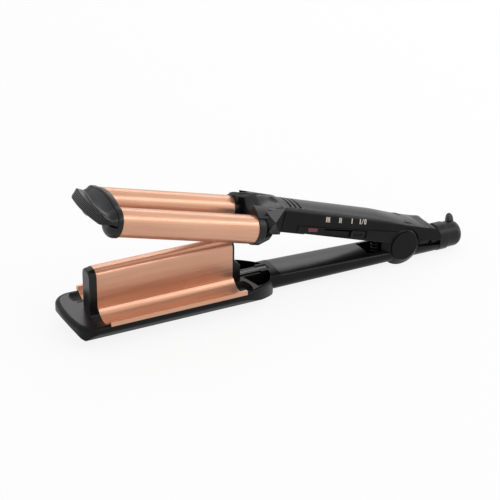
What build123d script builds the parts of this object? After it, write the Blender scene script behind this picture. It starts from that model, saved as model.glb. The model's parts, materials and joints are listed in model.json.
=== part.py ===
"""Hair waver: a three-barrel waving iron with two sprung arms.

The upper arm carries two heated barrels. The lower arm carries a heated ridge plate with a
rounded rib between two channels, and the barrels close into the channels. Both arms turn on
one pin in a round hinge boss, and the cord leaves through a gland that swivels behind it.

Millimetres, +Z up. +X runs from the tips to the cord end and +Y away from the switch side.
Every piece is drawn in its arm's own frame: X along the arm from the pivot (the barrels are at
negative X), Z up from the pivot, with the upper arm drawn closed and then opened as it rests.
"""

import os
from math import atan, degrees

from build123d import *

# ---- Arms and hinge ----------------------------------------------------------------------
pivot_x = 205.0  # the pivot, ahead of the origin under the tray
opening_angle = 15.0  # the spring holds the arms this far open
boss_radius = 18.5  # round hinge boss; it stands on the table with the keel
boss_half = 10.0  # half width of the boss's full round
boss_face_radius = 12.4  # the boss draws in to its end faces
cap_radius = 11.9  # discs that close the boss
cap_thickness = 1.6
pin_radius = 3.0
bush_wall = 1.5
run_clearance = 0.05  # radial, pin in bush
lug_radius = 10.0  # the upper arm's lug between the boss's cheeks
lug_half = 5.2
slot_clearance = 0.3  # lug to cheek
boss_clearance = 0.6  # upper casing round the boss

# ---- Moulded casings ---------------------------------------------------------------------
wall = 2.0
joint_gap = 0.1  # between pieces that are fitted together
seat_gap = 0.3  # between pieces that move past each other

# ---- Barrels and the ridge plate ---------------------------------------------------------
barrel_radius = 11.0
barrel_wall = 1.3
barrel_pitch = 40.8
barrel_height = 9.0  # barrel axes above the pivot, closed
hair_gap = 1.5  # room for hair between a barrel and its channel
sheet = 1.6  # ridge plate's metal
plate_front = -264.0
plate_rear = -151.0
rib_top = 33.5
rib_round = 6.0
lip_top = 2.9
lip_bottom = -0.5
lip_round = 1.5

channel_radius = barrel_radius + hair_gap
barrel_y = barrel_pitch / 2
rib_half = barrel_y - channel_radius
plate_length = plate_rear - plate_front

# ---- Tray of the lower arm ---------------------------------------------------------------
hull_half = 33.2
lip_half = hull_half + 0.3  # outside of the plate's rolled edges
nose_front = -288.5
nose_corner = -283.0
nose_corner_round = 15.0
hull_side = 5.0  # straight height of the sides
hull_bilge = (hull_half - 4.2, -10.3)  # Y and Z where the sides turn under
keel_half = 7.5
keel_front = -266.0
keel_rear = -150.0
nose_top_round = 3.2
stern_start = -158.0  # where the tray's plan starts to draw in
neck_x = -119.0  # where it meets the handle
keel_z = -boss_radius

# ---- Inside the tray ---------------------------------------------------------------------
bulkhead_x = plate_rear - 4.0  # end of the room under the plate
cradle = 9.0  # length of the cradles that carry the plate
screw_x = (-246.0, -168.0)  # ridge screws, through the cradles
screw_radius = 1.5
screw_head_radius = 2.8
screw_head_depth = 2.2
screw_grip = 8.0  # thread in the clamp
screw_sunk = 0.6  # heads lie this far inside the casing
end_room = 4.0  # plate to clamp, and clamp to heater, at each end
sheet_bottom = barrel_height - channel_radius - sheet
clamp_half = rib_half - sheet - joint_gap
clamp_bottom = -4.0
clamp_top = rib_top - sheet - 1.5
heater_z = 17.0
heater_width = 18.0
heater_thickness = 3.0
lip_skirt = wall + 0.5  # the lip's fold, left of the tray's wall

# ---- Ends of the ridge -------------------------------------------------------------------
cap_depth = 6.0  # deck of the nose cap
cap_inset = nose_top_round + 0.3
nose_trough_end = plate_front - 11.5
stern_trough_end = plate_rear + 10.0
rib_cap_length = 5.6
rib_cap_taper = 10.0
rib_cap_round = 1.2
rear_cap_x = plate_rear + 1.5  # upright part of the rear cap, then its slant
rear_cap_foot = plate_rear + 6.5
rear_cap_slant = (12.0, 17.0)  # heights of the slant
bar_top = 1.0  # grooved bar behind the rear cap
bar_sunk = 1.2
bar_half = 3.5
bar_rear = -117.0
bar_groove = 0.7
bar_groove_y = 2.3
web_half = 6.0  # web between the stern's pockets
pocket_front = -137.0
pocket_floor = -11.0
duct_radius = 3.0  # wires from the tray to the handle
duct_z = -8.0

# ---- Lower handle ------------------------------------------------------------------------
lower_half = 14.5
boss_face_half = lower_half + 0.1  # the boss stands just proud of the handle
lower_bottom = -14.8
lower_corner = 8.0
lower_seam_front = (-112.0, -1.7)  # parting line of casing and cover: X and Z
lower_seam_rear = (-11.0, -5.0)
lower_crown = 2.6
neck_crown = 3.2
spring_bay = (-31.0, -9.0)
spring_floor = -11.0
spring_x = -17.5
spring_wire = 0.6
spring_radius = 4.2
spring_height = 17.8
spring_turns = 6
tongue = 2.5  # the cover's tongue, inside the casing
post_radius = 3.4  # screw posts between casing and cover
post_height = 6.5
post_gap = 4.0  # screw hole in the cover's post
cover_screw_x = (-96.0, -48.0)

# ---- Upper handle ------------------------------------------------------------------------
upper_half = 14.0
seam_front = (-118.0, 22.9)
seam_slope = 0.0521
crown = 4.2
handle_rear = 35.4
handle_rear_z = 9.5  # the rear end rounds down to this height
crown_end = 14.0  # and starts to do so here
belly_front = 5.6  # underside at the front and at the back of the handle
belly_rear = 1.0
belly_rear_x = -10.0
skirt_z = 5.7  # lower edge of the casing behind the boss

# ---- Tip of the upper arm ----------------------------------------------------------------
barrel_front = plate_front - 2.0
barrel_rear = plate_rear + 8.0
spigot = 6.0  # plug of the barrel end, in the barrel
spreader_clearance = 0.1
barrel_heater_width = 12.0
flange_front = -267.3  # flange across both barrels
flange_rear = -263.3
flange_half = 31.7
flange_height = 15.3
nose_dome = -272.6  # rounded barrel ends under the tip
nose_radius = barrel_radius + 0.3
collar_wall = 0.8
collar_side = barrel_y + barrel_radius + collar_wall
tip_low = 8.4
tip_top = 16.8  # upper edge of the finger rest
leaf_front = -284.0  # bowed front of the finger rest: middle, end and flank
leaf_end = (-280.2, 26.0)
leaf_flank = (-274.5, 30.2)
leaf_slant = 30.0
brow_x = -274.0  # from here the body rises to the flange
dish_floor = 14.5  # hollow behind the finger rest: height, centre, half length and half width
dish_floor_x = -274.8
dish_floor_half = (1.0, 21.0)
dish_rim = 24.5
dish_rim_x = -276.8
dish_rim_half = (9.9, 60.0)
grip_thickness = 1.2
grip_top = 15.6
grip_half = 25.8
grip_notch = 0.8
groove_depth = 0.45
groove_height = 0.55
groove_start = 0.5
groove_pitch = 1.15
groove_count = 6
arch_half = rib_half + 1.3  # arch that the rib passes under
arch_top = 22.8
arch_front = -272.3
arch_low = 15.5  # height of its roof at the front

# ---- Barrel holder -----------------------------------------------------------------------
holder_front = -148.0
holder_rear = seam_front[0]
bridge_half = 32.2
bridge_height = 18.6
bridge_thickness = 3.0
bridge_edge = 20.3  # height of the arch's lower edges
recess = (-141.8, -131.5)  # open gap behind each collar
recess_floor = 7.0
recess_y = 13.0
waist = (-129.0, 16.0)  # where the arch has drawn in
neck_front = -136.0
neck_half = (20.9, 13.6)  # half width at the front and at the handle
neck_low = (5.2, 3.4)
neck_top = (24.4, 25.6)
facet_foot = (-141.0, -23.0)  # faceted flank of the neck: its line in plan
facet_heel = (-119.0, -14.0)
facet_toe = 6.8  # start of its lower edge, along that line
facet_apex = (11.5, 15.0)  # along that line, and height
facet_proud = 3.6

# ---- Inside the upper handle -------------------------------------------------------------
vent_x = -112.5
vent_pitch = 4.55
vent_count = 3
vent_half = 11.0
vent_width = 1.5
lug_arm_front = -26.0
lug_arm_rear = 11.0
lug_arm_low = 3.3
board_y = -4.0
board_x = -70.0
board_z = 13.0
board_length = 62.0
board_height = 8.4
board_thickness = 1.6
lens_x = -89.8
lens_z = 8.9
lens_length = 8.5
lens_height = 3.0
lens_proud = 0.2
lens_flange = 0.8
lamp_radius = 1.5
lamp_gap = 0.9

# ---- Switch ------------------------------------------------------------------------------
cover_front = -103.5
cover_top = 11.4
cover_proud = 0.6  # the switch cover stands this far out of the casing
track = (-80.0, -38.5)
track_low = 4.5
track_high = 10.5
track_depth = 0.9
stem_height = 1.0  # the slider's stem, in a slot along the track's upper edge
knob = (-54.0, -41.5)
knob_proud = 0.7
cover_rear = -8.0
cover_rear_low = -boss_face_radius - boss_clearance - joint_gap
cover_wall = 1.8
cover_floor = 1.3
cover_corner = 2.0
switch_z = (track_low + track_high) / 2
slot_z = track_high - seat_gap - stem_height / 2
switch_length = 42.0
switch_height = 4.6
switch_body_z = 8.5
switch_depth = 5.0
switch_groove = 2.4
switch_groove_depth = 3.0
key_thickness = 1.0
key_span = (switch_z - switch_groove / 2 + seat_gap, slot_z + stem_height / 2)
key_y = board_y - switch_depth + switch_groove_depth - seat_gap
key_plate_y = -upper_half - cover_proud + cover_wall + seat_gap
lamp_end = -upper_half - cover_proud + cover_wall + lens_flange + joint_gap + lamp_gap

# ---- Tail and cord swivel ----------------------------------------------------------------
tail_z = -6.8  # axis of the tail
tail_radius = 11.0
tail_end = 37.0
tail_edge = -5.8  # height of its edge at the boss and at the end
tail_edge_rear = -9.2
sleeve_radius = 8.0
sleeve_front = 13.0
collar_radius = 11.4
collar_front = 37.4
collar_rear = 46.5
gland_end = 61.0
cord_radius = 3.5
groove_front = 28.0  # groove of the clip that keeps the swivel in
groove_width = 3.0
groove_radius = 6.5
gland_radius = 10.6
tab_front = 52.2
tab_length = 6.4
tab_width = 8.0
tab_y = 4.0
tab_top = 9.3
tab_round = 2.6

room = 400.0  # longer than any piece, for cuts that run out of it

os.makedirs("parts", exist_ok=True)

lower = Plane(origin=(pivot_x, 0, boss_radius))
upper = lower.rotated((0, opening_angle, 0))
pivot = Axis((pivot_x, 0, boss_radius), (0, 1, 0))


def side_plane(arm, y=0.0):
    """Sketch X along the arm and Z up; it faces the switch side."""
    return Plane(origin=arm.from_local_coords(Vector(0, y, 0)), x_dir=arm.x_dir, z_dir=-arm.y_dir)


def cross_plane(arm, x=0.0):
    """Sketch Y and Z; it faces the cord end."""
    return Plane(origin=arm.from_local_coords(Vector(x, 0, 0)), x_dir=arm.y_dir, z_dir=arm.x_dir)


def level_plane(arm, z=0.0):
    """Sketch X along the arm and Y; it faces up."""
    return Plane(origin=arm.from_local_coords(Vector(0, 0, z)), x_dir=arm.x_dir, z_dir=arm.z_dir)


def long_axis(arm, y, z):
    """Line along the arm at the given Y and Z."""
    return Axis(arm.from_local_coords(Vector(0, y, z)), arm.x_dir)


def finish(builder, name):
    """Name a finished piece and write it."""
    builder.part.label = name
    export_step(builder.part, f"parts/{name}.step")


def boss_outline(growth=0.0):
    """Half section of the hinge boss above its axis, grown by a clearance."""
    half = boss_half + growth * 0.5
    face = boss_face_half + growth
    with BuildLine() as outline:
        Polyline(
            (-face, 0),
            (-face, boss_face_radius + growth),
            (-half, boss_radius + growth),
            (half, boss_radius + growth),
            (face, boss_face_radius + growth),
            (face, 0),
            close=True,
        )
    return outline.line


# ---- Lower arm ---------------------------------------------------------------------------


def tray_plan(inset=0.0):
    """Plan of the tray: bowed nose, parallel sides and a stern that draws in to the handle."""
    with BuildSketch() as plan:
        with BuildLine():
            ThreePointArc((nose_corner, hull_half), (nose_front, 0), (nose_corner, -hull_half))
            near = Line((nose_corner, -hull_half), (stern_start, -hull_half))
            near_stern = TangentArc(near @ 1, (neck_x, -lower_half), tangent=(1, 0))
            Line(near_stern @ 1, (neck_x, lower_half))
            far = Line((nose_corner, hull_half), (stern_start, hull_half))
            TangentArc(far @ 1, (neck_x, lower_half), tangent=(1, 0))
        make_face()
        fillet(plan.vertices().group_by(Axis.X)[0], radius=nose_corner_round)
        if inset:
            offset(amount=-inset, mode=Mode.REPLACE)
    return plan.sketch


def hull(inset=0.0):
    """Boat-shaped body of the tray, drawn in by inset all round."""
    with BuildPart() as body:
        with BuildSketch(level_plane(lower, keel_z)):
            add(tray_plan(inset))
        extrude(amount=boss_radius)
        with BuildSketch(cross_plane(lower, nose_front)) as section:
            with BuildLine():
                Polyline(
                    (-hull_half, 0),
                    (-hull_half, -hull_side),
                    (-hull_bilge[0], hull_bilge[1]),
                    (-keel_half, keel_z),
                    (keel_half, keel_z),
                    hull_bilge,
                    (hull_half, -hull_side),
                    (hull_half, 0),
                    close=True,
                )
            make_face()
            fillet(section.vertices().filter_by(lambda v: v.Y == -hull_side), radius=4)
            fillet(section.vertices().filter_by(lambda v: v.Y == hull_bilge[1]), radius=5)
            if inset:
                offset(amount=-inset, mode=Mode.REPLACE)
        extrude(amount=neck_x - nose_front, mode=Mode.INTERSECT)
        with BuildSketch(side_plane(lower)):
            with BuildLine():
                Polyline(
                    (nose_front, 0),
                    (nose_front, -5.0),
                    (nose_front + 3.6, -9.5),
                    (keel_front, keel_z),
                    (keel_rear, keel_z),
                    (neck_x, lower_bottom),
                    (neck_x, 0),
                    close=True,
                )
            make_face()
            if inset:
                offset(amount=-inset, mode=Mode.REPLACE)
        extrude(amount=2 * hull_half, both=True, mode=Mode.INTERSECT)
    return body.part


def trough(radius, inner, end, drop):
    """Round-ended channels for both barrels: from inner, with a dome that ends at end."""
    with BuildPart() as cutter:
        for side in (-1, 1):
            with BuildSketch(side_plane(lower, side * barrel_y)):
                with BuildLine():
                    Polyline(
                        (end, barrel_height),
                        (inner, barrel_height),
                        (inner, barrel_height - radius),
                        (end + drop, barrel_height - radius),
                    )
                    ThreePointArc(
                        (end + drop, barrel_height - radius),
                        (end + 0.3 * drop, barrel_height - 0.75 * radius),
                        (end, barrel_height - 0.5 * radius),
                    )
                    Line((end, barrel_height - 0.5 * radius), (end, barrel_height))
                make_face()
            revolve(axis=long_axis(lower, side * barrel_y, barrel_height))
    return cutter.part


def ridge_outline(top, half, skirt, bottom):
    """Section of the ridge above bottom: rib, channels and the flat outside them."""
    with BuildSketch() as section:
        with Locations((0, bottom)):
            Rectangle(2 * rib_half, top - bottom, align=(Align.CENTER, Align.MIN))
        fillet(section.vertices().group_by(Axis.Y)[-1], radius=rib_round)
        with Locations((0, bottom)):
            Rectangle(2 * half, skirt - bottom, align=(Align.CENTER, Align.MIN))
        with Locations((-barrel_y, barrel_height), (barrel_y, barrel_height)):
            Circle(channel_radius, mode=Mode.SUBTRACT)
    return section.sketch


def tail_shell():
    """Lower half of the tail, whose edge falls away to the rear."""
    with BuildPart() as shell:
        with BuildSketch(cross_plane(lower, lug_radius)):
            with Locations((0, tail_z)):
                Circle(tail_radius)
        extrude(amount=tail_end - lug_radius)
        with BuildSketch(side_plane(lower)):
            with BuildLine():
                Polyline(
                    (lug_radius, tail_edge),
                    (tail_end, tail_edge_rear),
                    (tail_end, lug_radius),
                    (lug_radius, lug_radius),
                    close=True,
                )
            make_face()
        extrude(amount=2 * tail_radius, both=True, mode=Mode.SUBTRACT)
    return shell.part


def tray_hollow():
    """Room under the ridge plate, between two cradles that carry the plate."""
    with BuildPart() as hollow:
        add(hull(wall))
        with BuildSketch(level_plane(lower, keel_z)):
            with Locations((bulkhead_x, 0)):
                Rectangle(bulkhead_x - nose_front, 3 * hull_half, align=(Align.MAX, Align.CENTER))
        extrude(amount=2 * boss_radius, mode=Mode.INTERSECT)
        with BuildSketch(level_plane(lower, keel_z)):
            with Locations([(x, 0) for x in screw_x]):
                Rectangle(cradle, 3 * hull_half)
        extrude(amount=2 * boss_radius, mode=Mode.SUBTRACT)
    return hollow.part


lower_seam_length = lower_seam_rear[0] - lower_seam_front[0]
lower_seam_angle = degrees(atan((lower_seam_front[1] - lower_seam_rear[1]) / lower_seam_length))
lower_seam = Plane(
    origin=lower.from_local_coords(Vector(lower_seam_front[0], 0, lower_seam_front[1])), z_dir=(0, 0, 1)
).rotated((0, lower_seam_angle, 0))

with BuildPart() as lower_housing:
    add(hull())
    fillet(
        lower_housing.edges()
        .filter_by(lambda e: abs(e.center().Z - boss_radius) < 0.01 and e.center().X < pivot_x + plate_front),
        radius=nose_top_round,
    )
    add(tray_hollow(), mode=Mode.SUBTRACT)
    # Seat of the ridge plate.
    with BuildSketch(cross_plane(lower, plate_front)):
        with Locations((-barrel_y, barrel_height), (barrel_y, barrel_height)):
            Circle(channel_radius + sheet)
        with Locations((0, lip_bottom)):
            Rectangle(3 * hull_half, 30, align=(Align.CENTER, Align.MIN))
        with Locations((0, sheet_bottom + 1)):
            Rectangle(2 * barrel_y, 30, align=(Align.CENTER, Align.MIN))
    extrude(amount=plate_length, mode=Mode.SUBTRACT)
    # Seat of the nose cap.
    with BuildSketch(level_plane(lower, -cap_depth - joint_gap)):
        add(tray_plan(cap_inset - joint_gap))
        with Locations((plate_front, 0)):
            Rectangle(room, room, align=(Align.MIN, Align.CENTER), mode=Mode.SUBTRACT)
    extrude(amount=2 * cap_depth, mode=Mode.SUBTRACT)
    # Handle.
    with BuildSketch(cross_plane(lower, neck_x - 6)) as handle_section:
        with Locations((0, lower_bottom)):
            Rectangle(2 * lower_half, -lower_bottom - 1.5, align=(Align.CENTER, Align.MIN))
        fillet(handle_section.vertices().group_by(Axis.Y)[0], radius=lower_corner)
    extrude(amount=-neck_x)
    with BuildSketch(cross_plane(lower, neck_x - 6)):
        with Locations((0, -1.6)):
            Ellipse(lower_half, neck_crown)
            Rectangle(3 * lower_half, 20, align=(Align.CENTER, Align.MAX), mode=Mode.SUBTRACT)
    extrude(amount=lower_seam_front[0] - neck_x + 6)
    # Handle's hollow, open at the top under its cover.
    with BuildSketch(side_plane(lower)):
        with BuildLine():
            Polyline(
                lower_seam_front,
                lower_seam_rear,
                (lower_seam_rear[0], lug_radius),
                (lower_seam_front[0], lug_radius),
                close=True,
            )
        make_face()
    extrude(amount=lower_half + 1, both=True, mode=Mode.SUBTRACT)
    with BuildSketch(cross_plane(lower, lower_seam_front[0] + wall)) as inner:
        with Locations((0, lower_bottom + wall)):
            Rectangle(2 * (lower_half - wall), 30, align=(Align.CENTER, Align.MIN))
        fillet(inner.vertices().group_by(Axis.Y)[0], radius=lower_corner - wall)
    extrude(amount=spring_bay[0] - lower_seam_front[0] - 2 * wall, mode=Mode.SUBTRACT)
    for x in cover_screw_x:
        with BuildSketch(level_plane(lower, lower_bottom)):
            with Locations((x, 0)):
                Circle(post_radius)
        extrude(amount=post_height)
    # Hinge boss and tail, with the lug's slot, the spring bay, the pin bore and the swivel's seat.
    with BuildSketch(cross_plane(lower)):
        make_face(boss_outline())
    revolve(axis=pivot)
    add(tail_shell())
    with BuildSketch(level_plane(lower, spring_floor)):
        Rectangle(2 * (boss_radius + 1), 2 * (lug_half + slot_clearance))
        with Locations((sum(spring_bay) / 2, 0)):
            Rectangle(spring_bay[1] - spring_bay[0], 2 * boss_half)
    extrude(amount=40, mode=Mode.SUBTRACT)
    with BuildSketch(side_plane(lower)):
        Circle(pin_radius)
    extrude(amount=2 * boss_face_half, both=True, mode=Mode.SUBTRACT)
    with BuildSketch(cross_plane(lower, sleeve_front - seat_gap)):
        with Locations((0, tail_z)):
            Circle(sleeve_radius + seat_gap)
    extrude(amount=tail_end, mode=Mode.SUBTRACT)
    # Stern: ends of the channels, pockets beside the web, seat of the rear cap, wire duct.
    add(trough(channel_radius, plate_rear, stern_trough_end, -3.0), mode=Mode.SUBTRACT)
    with BuildSketch(level_plane(lower, pocket_floor)) as pockets:
        with BuildLine():
            Line((pocket_front - 4, web_half), (neck_x, web_half))
            ThreePointArc((neck_x, web_half), (-123.5, 17.5), (pocket_front, 24.5))
            Line((pocket_front, 24.5), (pocket_front - 4, web_half))
        make_face()
        mirror(about=Plane.XZ)
    extrude(amount=30, mode=Mode.SUBTRACT)
    with BuildSketch(cross_plane(lower, plate_rear - 8)):
        with Locations((0, duct_z)):
            Circle(duct_radius)
    extrude(amount=lower_seam_front[0] - plate_rear + 14, mode=Mode.SUBTRACT)
    with BuildSketch(level_plane(lower, -bar_sunk - joint_gap)):
        with Locations((plate_rear - 1, 0)):
            Rectangle(
                bar_rear + joint_gap - plate_rear + 1,
                2 * (bar_half + joint_gap),
                align=(Align.MIN, Align.CENTER),
            )
        with Locations((plate_rear - 1, 0)):
            Rectangle(
                rear_cap_foot + joint_gap - plate_rear + 1,
                2 * (rib_half + joint_gap),
                align=(Align.MIN, Align.CENTER),
            )
    extrude(amount=20, mode=Mode.SUBTRACT)
    # Screws from below.
    with BuildSketch(level_plane(lower, keel_z)):
        with Locations([(x, 0) for x in screw_x + cover_screw_x]):
            Circle(screw_radius)
    extrude(amount=2 * boss_radius, mode=Mode.SUBTRACT)
    with BuildSketch(level_plane(lower, keel_z)):
        with Locations([(x, 0) for x in screw_x]):
            Circle(screw_head_radius)
    extrude(amount=screw_head_depth + screw_sunk, mode=Mode.SUBTRACT)
    with BuildSketch(level_plane(lower, keel_z)):
        with Locations([(x, 0) for x in cover_screw_x]):
            Circle(screw_head_radius)
    extrude(amount=lower_bottom - keel_z + screw_head_depth + screw_sunk, mode=Mode.SUBTRACT)
finish(lower_housing, "lower_housing")

with BuildPart() as ridge_plate:
    with BuildSketch(cross_plane(lower, plate_front)) as plate_section:
        add(ridge_outline(rib_top, lip_half, lip_top, keel_z))
        fillet(
            plate_section.vertices().filter_by(lambda v: abs(v.X) == lip_half and v.Y == lip_top),
            radius=lip_round,
        )
        offset(amount=-sheet, mode=Mode.SUBTRACT)
        with Locations((0, sheet_bottom)):
            Rectangle(3 * lip_half, 40, align=(Align.CENTER, Align.MAX), mode=Mode.SUBTRACT)
        with Locations((-lip_half, lip_bottom), (lip_half, lip_bottom)):
            Rectangle(2 * lip_skirt, 20, align=(Align.CENTER, Align.MAX), mode=Mode.SUBTRACT)
    extrude(amount=plate_length)
finish(ridge_plate, "ridge_plate")

with BuildPart() as ridge_front_cap:
    # Deck of the nose.
    with BuildSketch(level_plane(lower, -cap_depth)):
        add(tray_plan(cap_inset))
        with Locations((plate_front, 0)):
            Rectangle(room, room, align=(Align.MIN, Align.CENTER), mode=Mode.SUBTRACT)
    extrude(amount=cap_depth)
    # Cover of the rib's end.
    with BuildSketch(cross_plane(lower, plate_front)):
        add(ridge_outline(rib_top, rib_half + 2, -1.0, -2.0))
        with Locations((0, -1)):
            Rectangle(2 * rib_half, 40, align=(Align.CENTER, Align.MIN), mode=Mode.INTERSECT)
    extrude(amount=-rib_cap_length, taper=rib_cap_taper)
    rib_face = ridge_front_cap.faces().filter_by(Axis.X).sort_by(Axis.X)[0]
    fillet(rib_face.edges().filter_by(lambda e: e.center().Z > boss_radius + 2), radius=rib_cap_round)
    add(trough(channel_radius, plate_front + 1, nose_trough_end, 4.0), mode=Mode.SUBTRACT)
finish(ridge_front_cap, "ridge_front_cap")

with BuildPart() as ridge_rear_cap:
    # Cover of the rib's end, which slants down to the floor between the channels.
    with BuildSketch(side_plane(lower)):
        with BuildLine():
            Polyline(
                (plate_rear, -1.0),
                (plate_rear, rib_top),
                (rear_cap_x, rib_top),
                (rear_cap_x, rear_cap_slant[1]),
                (rear_cap_foot, rear_cap_slant[0]),
                (rear_cap_foot, -1.0),
                close=True,
            )
        make_face()
    extrude(amount=rib_half, both=True)
    with BuildSketch(cross_plane(lower, plate_rear)):
        add(ridge_outline(rib_top, rib_half + 2, -1.0, -2.0))
    extrude(amount=rear_cap_foot - plate_rear, mode=Mode.INTERSECT)
    # Grooved bar that runs back to the handle.
    with BuildSketch(level_plane(lower, bar_top)):
        with Locations((rear_cap_foot - 3, 0)):
            Rectangle(bar_rear - rear_cap_foot + 3, 2 * bar_half, align=(Align.MIN, Align.CENTER))
    extrude(amount=-bar_top - bar_sunk)
    with BuildSketch(level_plane(lower, bar_top)):
        with Locations((rear_cap_foot + 1, -bar_groove_y), (rear_cap_foot + 1, bar_groove_y)):
            Rectangle(bar_rear - rear_cap_foot, bar_groove, align=(Align.MIN, Align.CENTER))
    extrude(amount=-bar_groove, mode=Mode.SUBTRACT)
finish(ridge_rear_cap, "ridge_rear_cap")

with BuildPart() as ridge_heater_clamp:
    with BuildSketch(cross_plane(lower, plate_front + end_room)) as clamp_section:
        with Locations((0, clamp_bottom)):
            Rectangle(2 * clamp_half, clamp_top - clamp_bottom, align=(Align.CENTER, Align.MIN))
        fillet(clamp_section.vertices().group_by(Axis.Y)[-1], radius=rib_round - sheet)
        with Locations((0, heater_z)):
            Rectangle(heater_thickness + 2 * joint_gap, heater_width + 2 * joint_gap, mode=Mode.SUBTRACT)
    extrude(amount=plate_length - 2 * end_room)
    with BuildSketch(level_plane(lower, clamp_bottom)):
        with Locations([(x, 0) for x in screw_x]):
            Circle(screw_radius)
    extrude(amount=screw_grip, mode=Mode.SUBTRACT)
finish(ridge_heater_clamp, "ridge_heater_clamp")

with BuildPart() as ridge_heater:
    with BuildSketch(cross_plane(lower, plate_front + end_room + 4)):
        with Locations((0, heater_z)):
            Rectangle(heater_thickness, heater_width)
    extrude(amount=plate_length - 2 * end_room - 8)
finish(ridge_heater, "ridge_heater")

with BuildPart() as lower_handle_cover:
    # Crowned lid along the parting line, with a tongue that drops into the casing.
    with BuildSketch(cross_plane(lower_seam)):
        Ellipse(lower_half, lower_crown)
        Rectangle(3 * lower_half, 20, align=(Align.CENTER, Align.MAX), mode=Mode.SUBTRACT)
    extrude(amount=lower_seam_length)
    with BuildSketch(cross_plane(lower_seam, wall + seat_gap)):
        Rectangle(2 * (lower_half - wall - joint_gap), tongue, align=(Align.CENTER, Align.MAX))
    extrude(amount=spring_bay[0] - lower_seam_front[0] - 2 * wall - 2 * seat_gap)
    with BuildSketch(cross_plane(lower, lower_seam_front[0])):
        Rectangle(room, room)
    extrude(amount=-20, mode=Mode.SUBTRACT)
    with BuildSketch(level_plane(lower, spring_floor)):
        with Locations((sum(spring_bay) / 2, 0)):
            Rectangle(spring_bay[1] - spring_bay[0], 2 * boss_half)
    extrude(amount=40, mode=Mode.SUBTRACT)
    with BuildSketch(cross_plane(lower)):
        make_face(boss_outline(joint_gap))
    revolve(axis=pivot, mode=Mode.SUBTRACT)
    with BuildSketch(cross_plane(lower, lower_seam_rear[0])):
        Rectangle(room, room)
    extrude(amount=100, mode=Mode.SUBTRACT)
    with BuildSketch(level_plane(lower, lower_bottom + post_height)):
        with Locations([(x, 0) for x in cover_screw_x]):
            Circle(post_radius)
    extrude(amount=-lower_bottom - post_height - post_gap)
    with BuildSketch(level_plane(lower, lower_bottom + post_height)):
        with Locations([(x, 0) for x in cover_screw_x]):
            Circle(screw_radius)
    extrude(amount=post_gap, mode=Mode.SUBTRACT)
finish(lower_handle_cover, "lower_handle_cover")

with BuildPart() as hinge_pin:
    with BuildSketch(side_plane(lower)):
        Circle(pin_radius)
    extrude(amount=boss_face_half, both=True)
finish(hinge_pin, "hinge_pin")

for name, side in (("hinge_cap_near", -1), ("hinge_cap_far", 1)):
    with BuildPart() as hinge_cap:
        with BuildSketch(side_plane(lower, side * boss_face_half)):
            Circle(cap_radius)
        extrude(amount=-side * cap_thickness)
        outer = hinge_cap.faces().filter_by(Axis.Y).sort_by(Axis.Y)[0 if side < 0 else -1]
        fillet(outer.edges(), radius=0.6)
    finish(hinge_cap, name)

with BuildPart() as return_spring:
    with BuildLine(Plane(lower.from_local_coords(Vector(spring_x, 0, spring_floor + spring_wire)))) as coil:
        Helix(
            pitch=(spring_height - 2 * spring_wire) / spring_turns,
            height=spring_height - 2 * spring_wire,
            radius=spring_radius - spring_wire,
        )
    with BuildSketch(Plane(origin=coil.line @ 0, z_dir=coil.line % 0)):
        Circle(spring_wire)
    sweep(is_frenet=True)
finish(return_spring, "return_spring")

with BuildPart() as housing_screws:
    for x in screw_x:
        with BuildSketch(level_plane(lower, keel_z + screw_sunk)):
            with Locations((x, 0)):
                Circle(screw_head_radius - joint_gap)
        extrude(amount=screw_head_depth - joint_gap)
        with BuildSketch(level_plane(lower, keel_z + screw_sunk)):
            with Locations((x, 0)):
                Circle(screw_radius - joint_gap)
        extrude(amount=clamp_bottom - keel_z + screw_grip - 1.5)
        with BuildSketch(level_plane(lower, keel_z + screw_sunk)):
            with Locations((x, 0)):
                Rectangle(3.6, 0.8)
        extrude(amount=1.0, mode=Mode.SUBTRACT)
    for x in cover_screw_x:
        with BuildSketch(level_plane(lower, lower_bottom + screw_sunk)):
            with Locations((x, 0)):
                Circle(screw_head_radius - joint_gap)
        extrude(amount=screw_head_depth - joint_gap)
        with BuildSketch(level_plane(lower, lower_bottom + screw_sunk)):
            with Locations((x, 0)):
                Circle(screw_radius - joint_gap)
        extrude(amount=post_height + 3.0)
finish(housing_screws, "housing_screws")


# ---- Upper arm ---------------------------------------------------------------------------

seam = Plane(
    origin=upper.from_local_coords(Vector(seam_front[0], 0, seam_front[1])),
    x_dir=upper.x_dir,
    z_dir=upper.z_dir,
).rotated((0, degrees(atan(seam_slope)), 0))

def seam_z(x):
    """Height of the upper parting line."""
    return seam_front[1] - seam_slope * (x - seam_front[0])


def handle_side():
    """Side view of the upper handle: straight underside, raised skirt behind the boss, round end."""
    with BuildSketch() as side:
        with BuildLine():
            Polyline(
                (handle_rear - 0.6, skirt_z),
                (lug_arm_rear, skirt_z),
                (belly_rear_x, belly_rear),
                (seam_front[0], belly_front),
                (seam_front[0], 40),
                (0.0, 40),
                (crown_end, seam_z(crown_end) + crown),
            )
            TangentArc(
                (crown_end, seam_z(crown_end) + crown), (handle_rear, handle_rear_z), tangent=(1, -seam_slope)
            )
            Line((handle_rear, handle_rear_z), (handle_rear - 0.6, skirt_z))
        make_face()
    return side.sketch


def boss_room():
    """Space that the upper casing leaves round the hinge boss."""
    with BuildPart() as room:
        with BuildSketch(cross_plane(upper)):
            make_face(boss_outline(boss_clearance))
        revolve(axis=pivot)
        with BuildSketch(side_plane(upper)):
            Circle(boss_face_radius + boss_clearance)
        extrude(amount=boss_face_half + 4, both=True)
    return room.part


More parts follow.
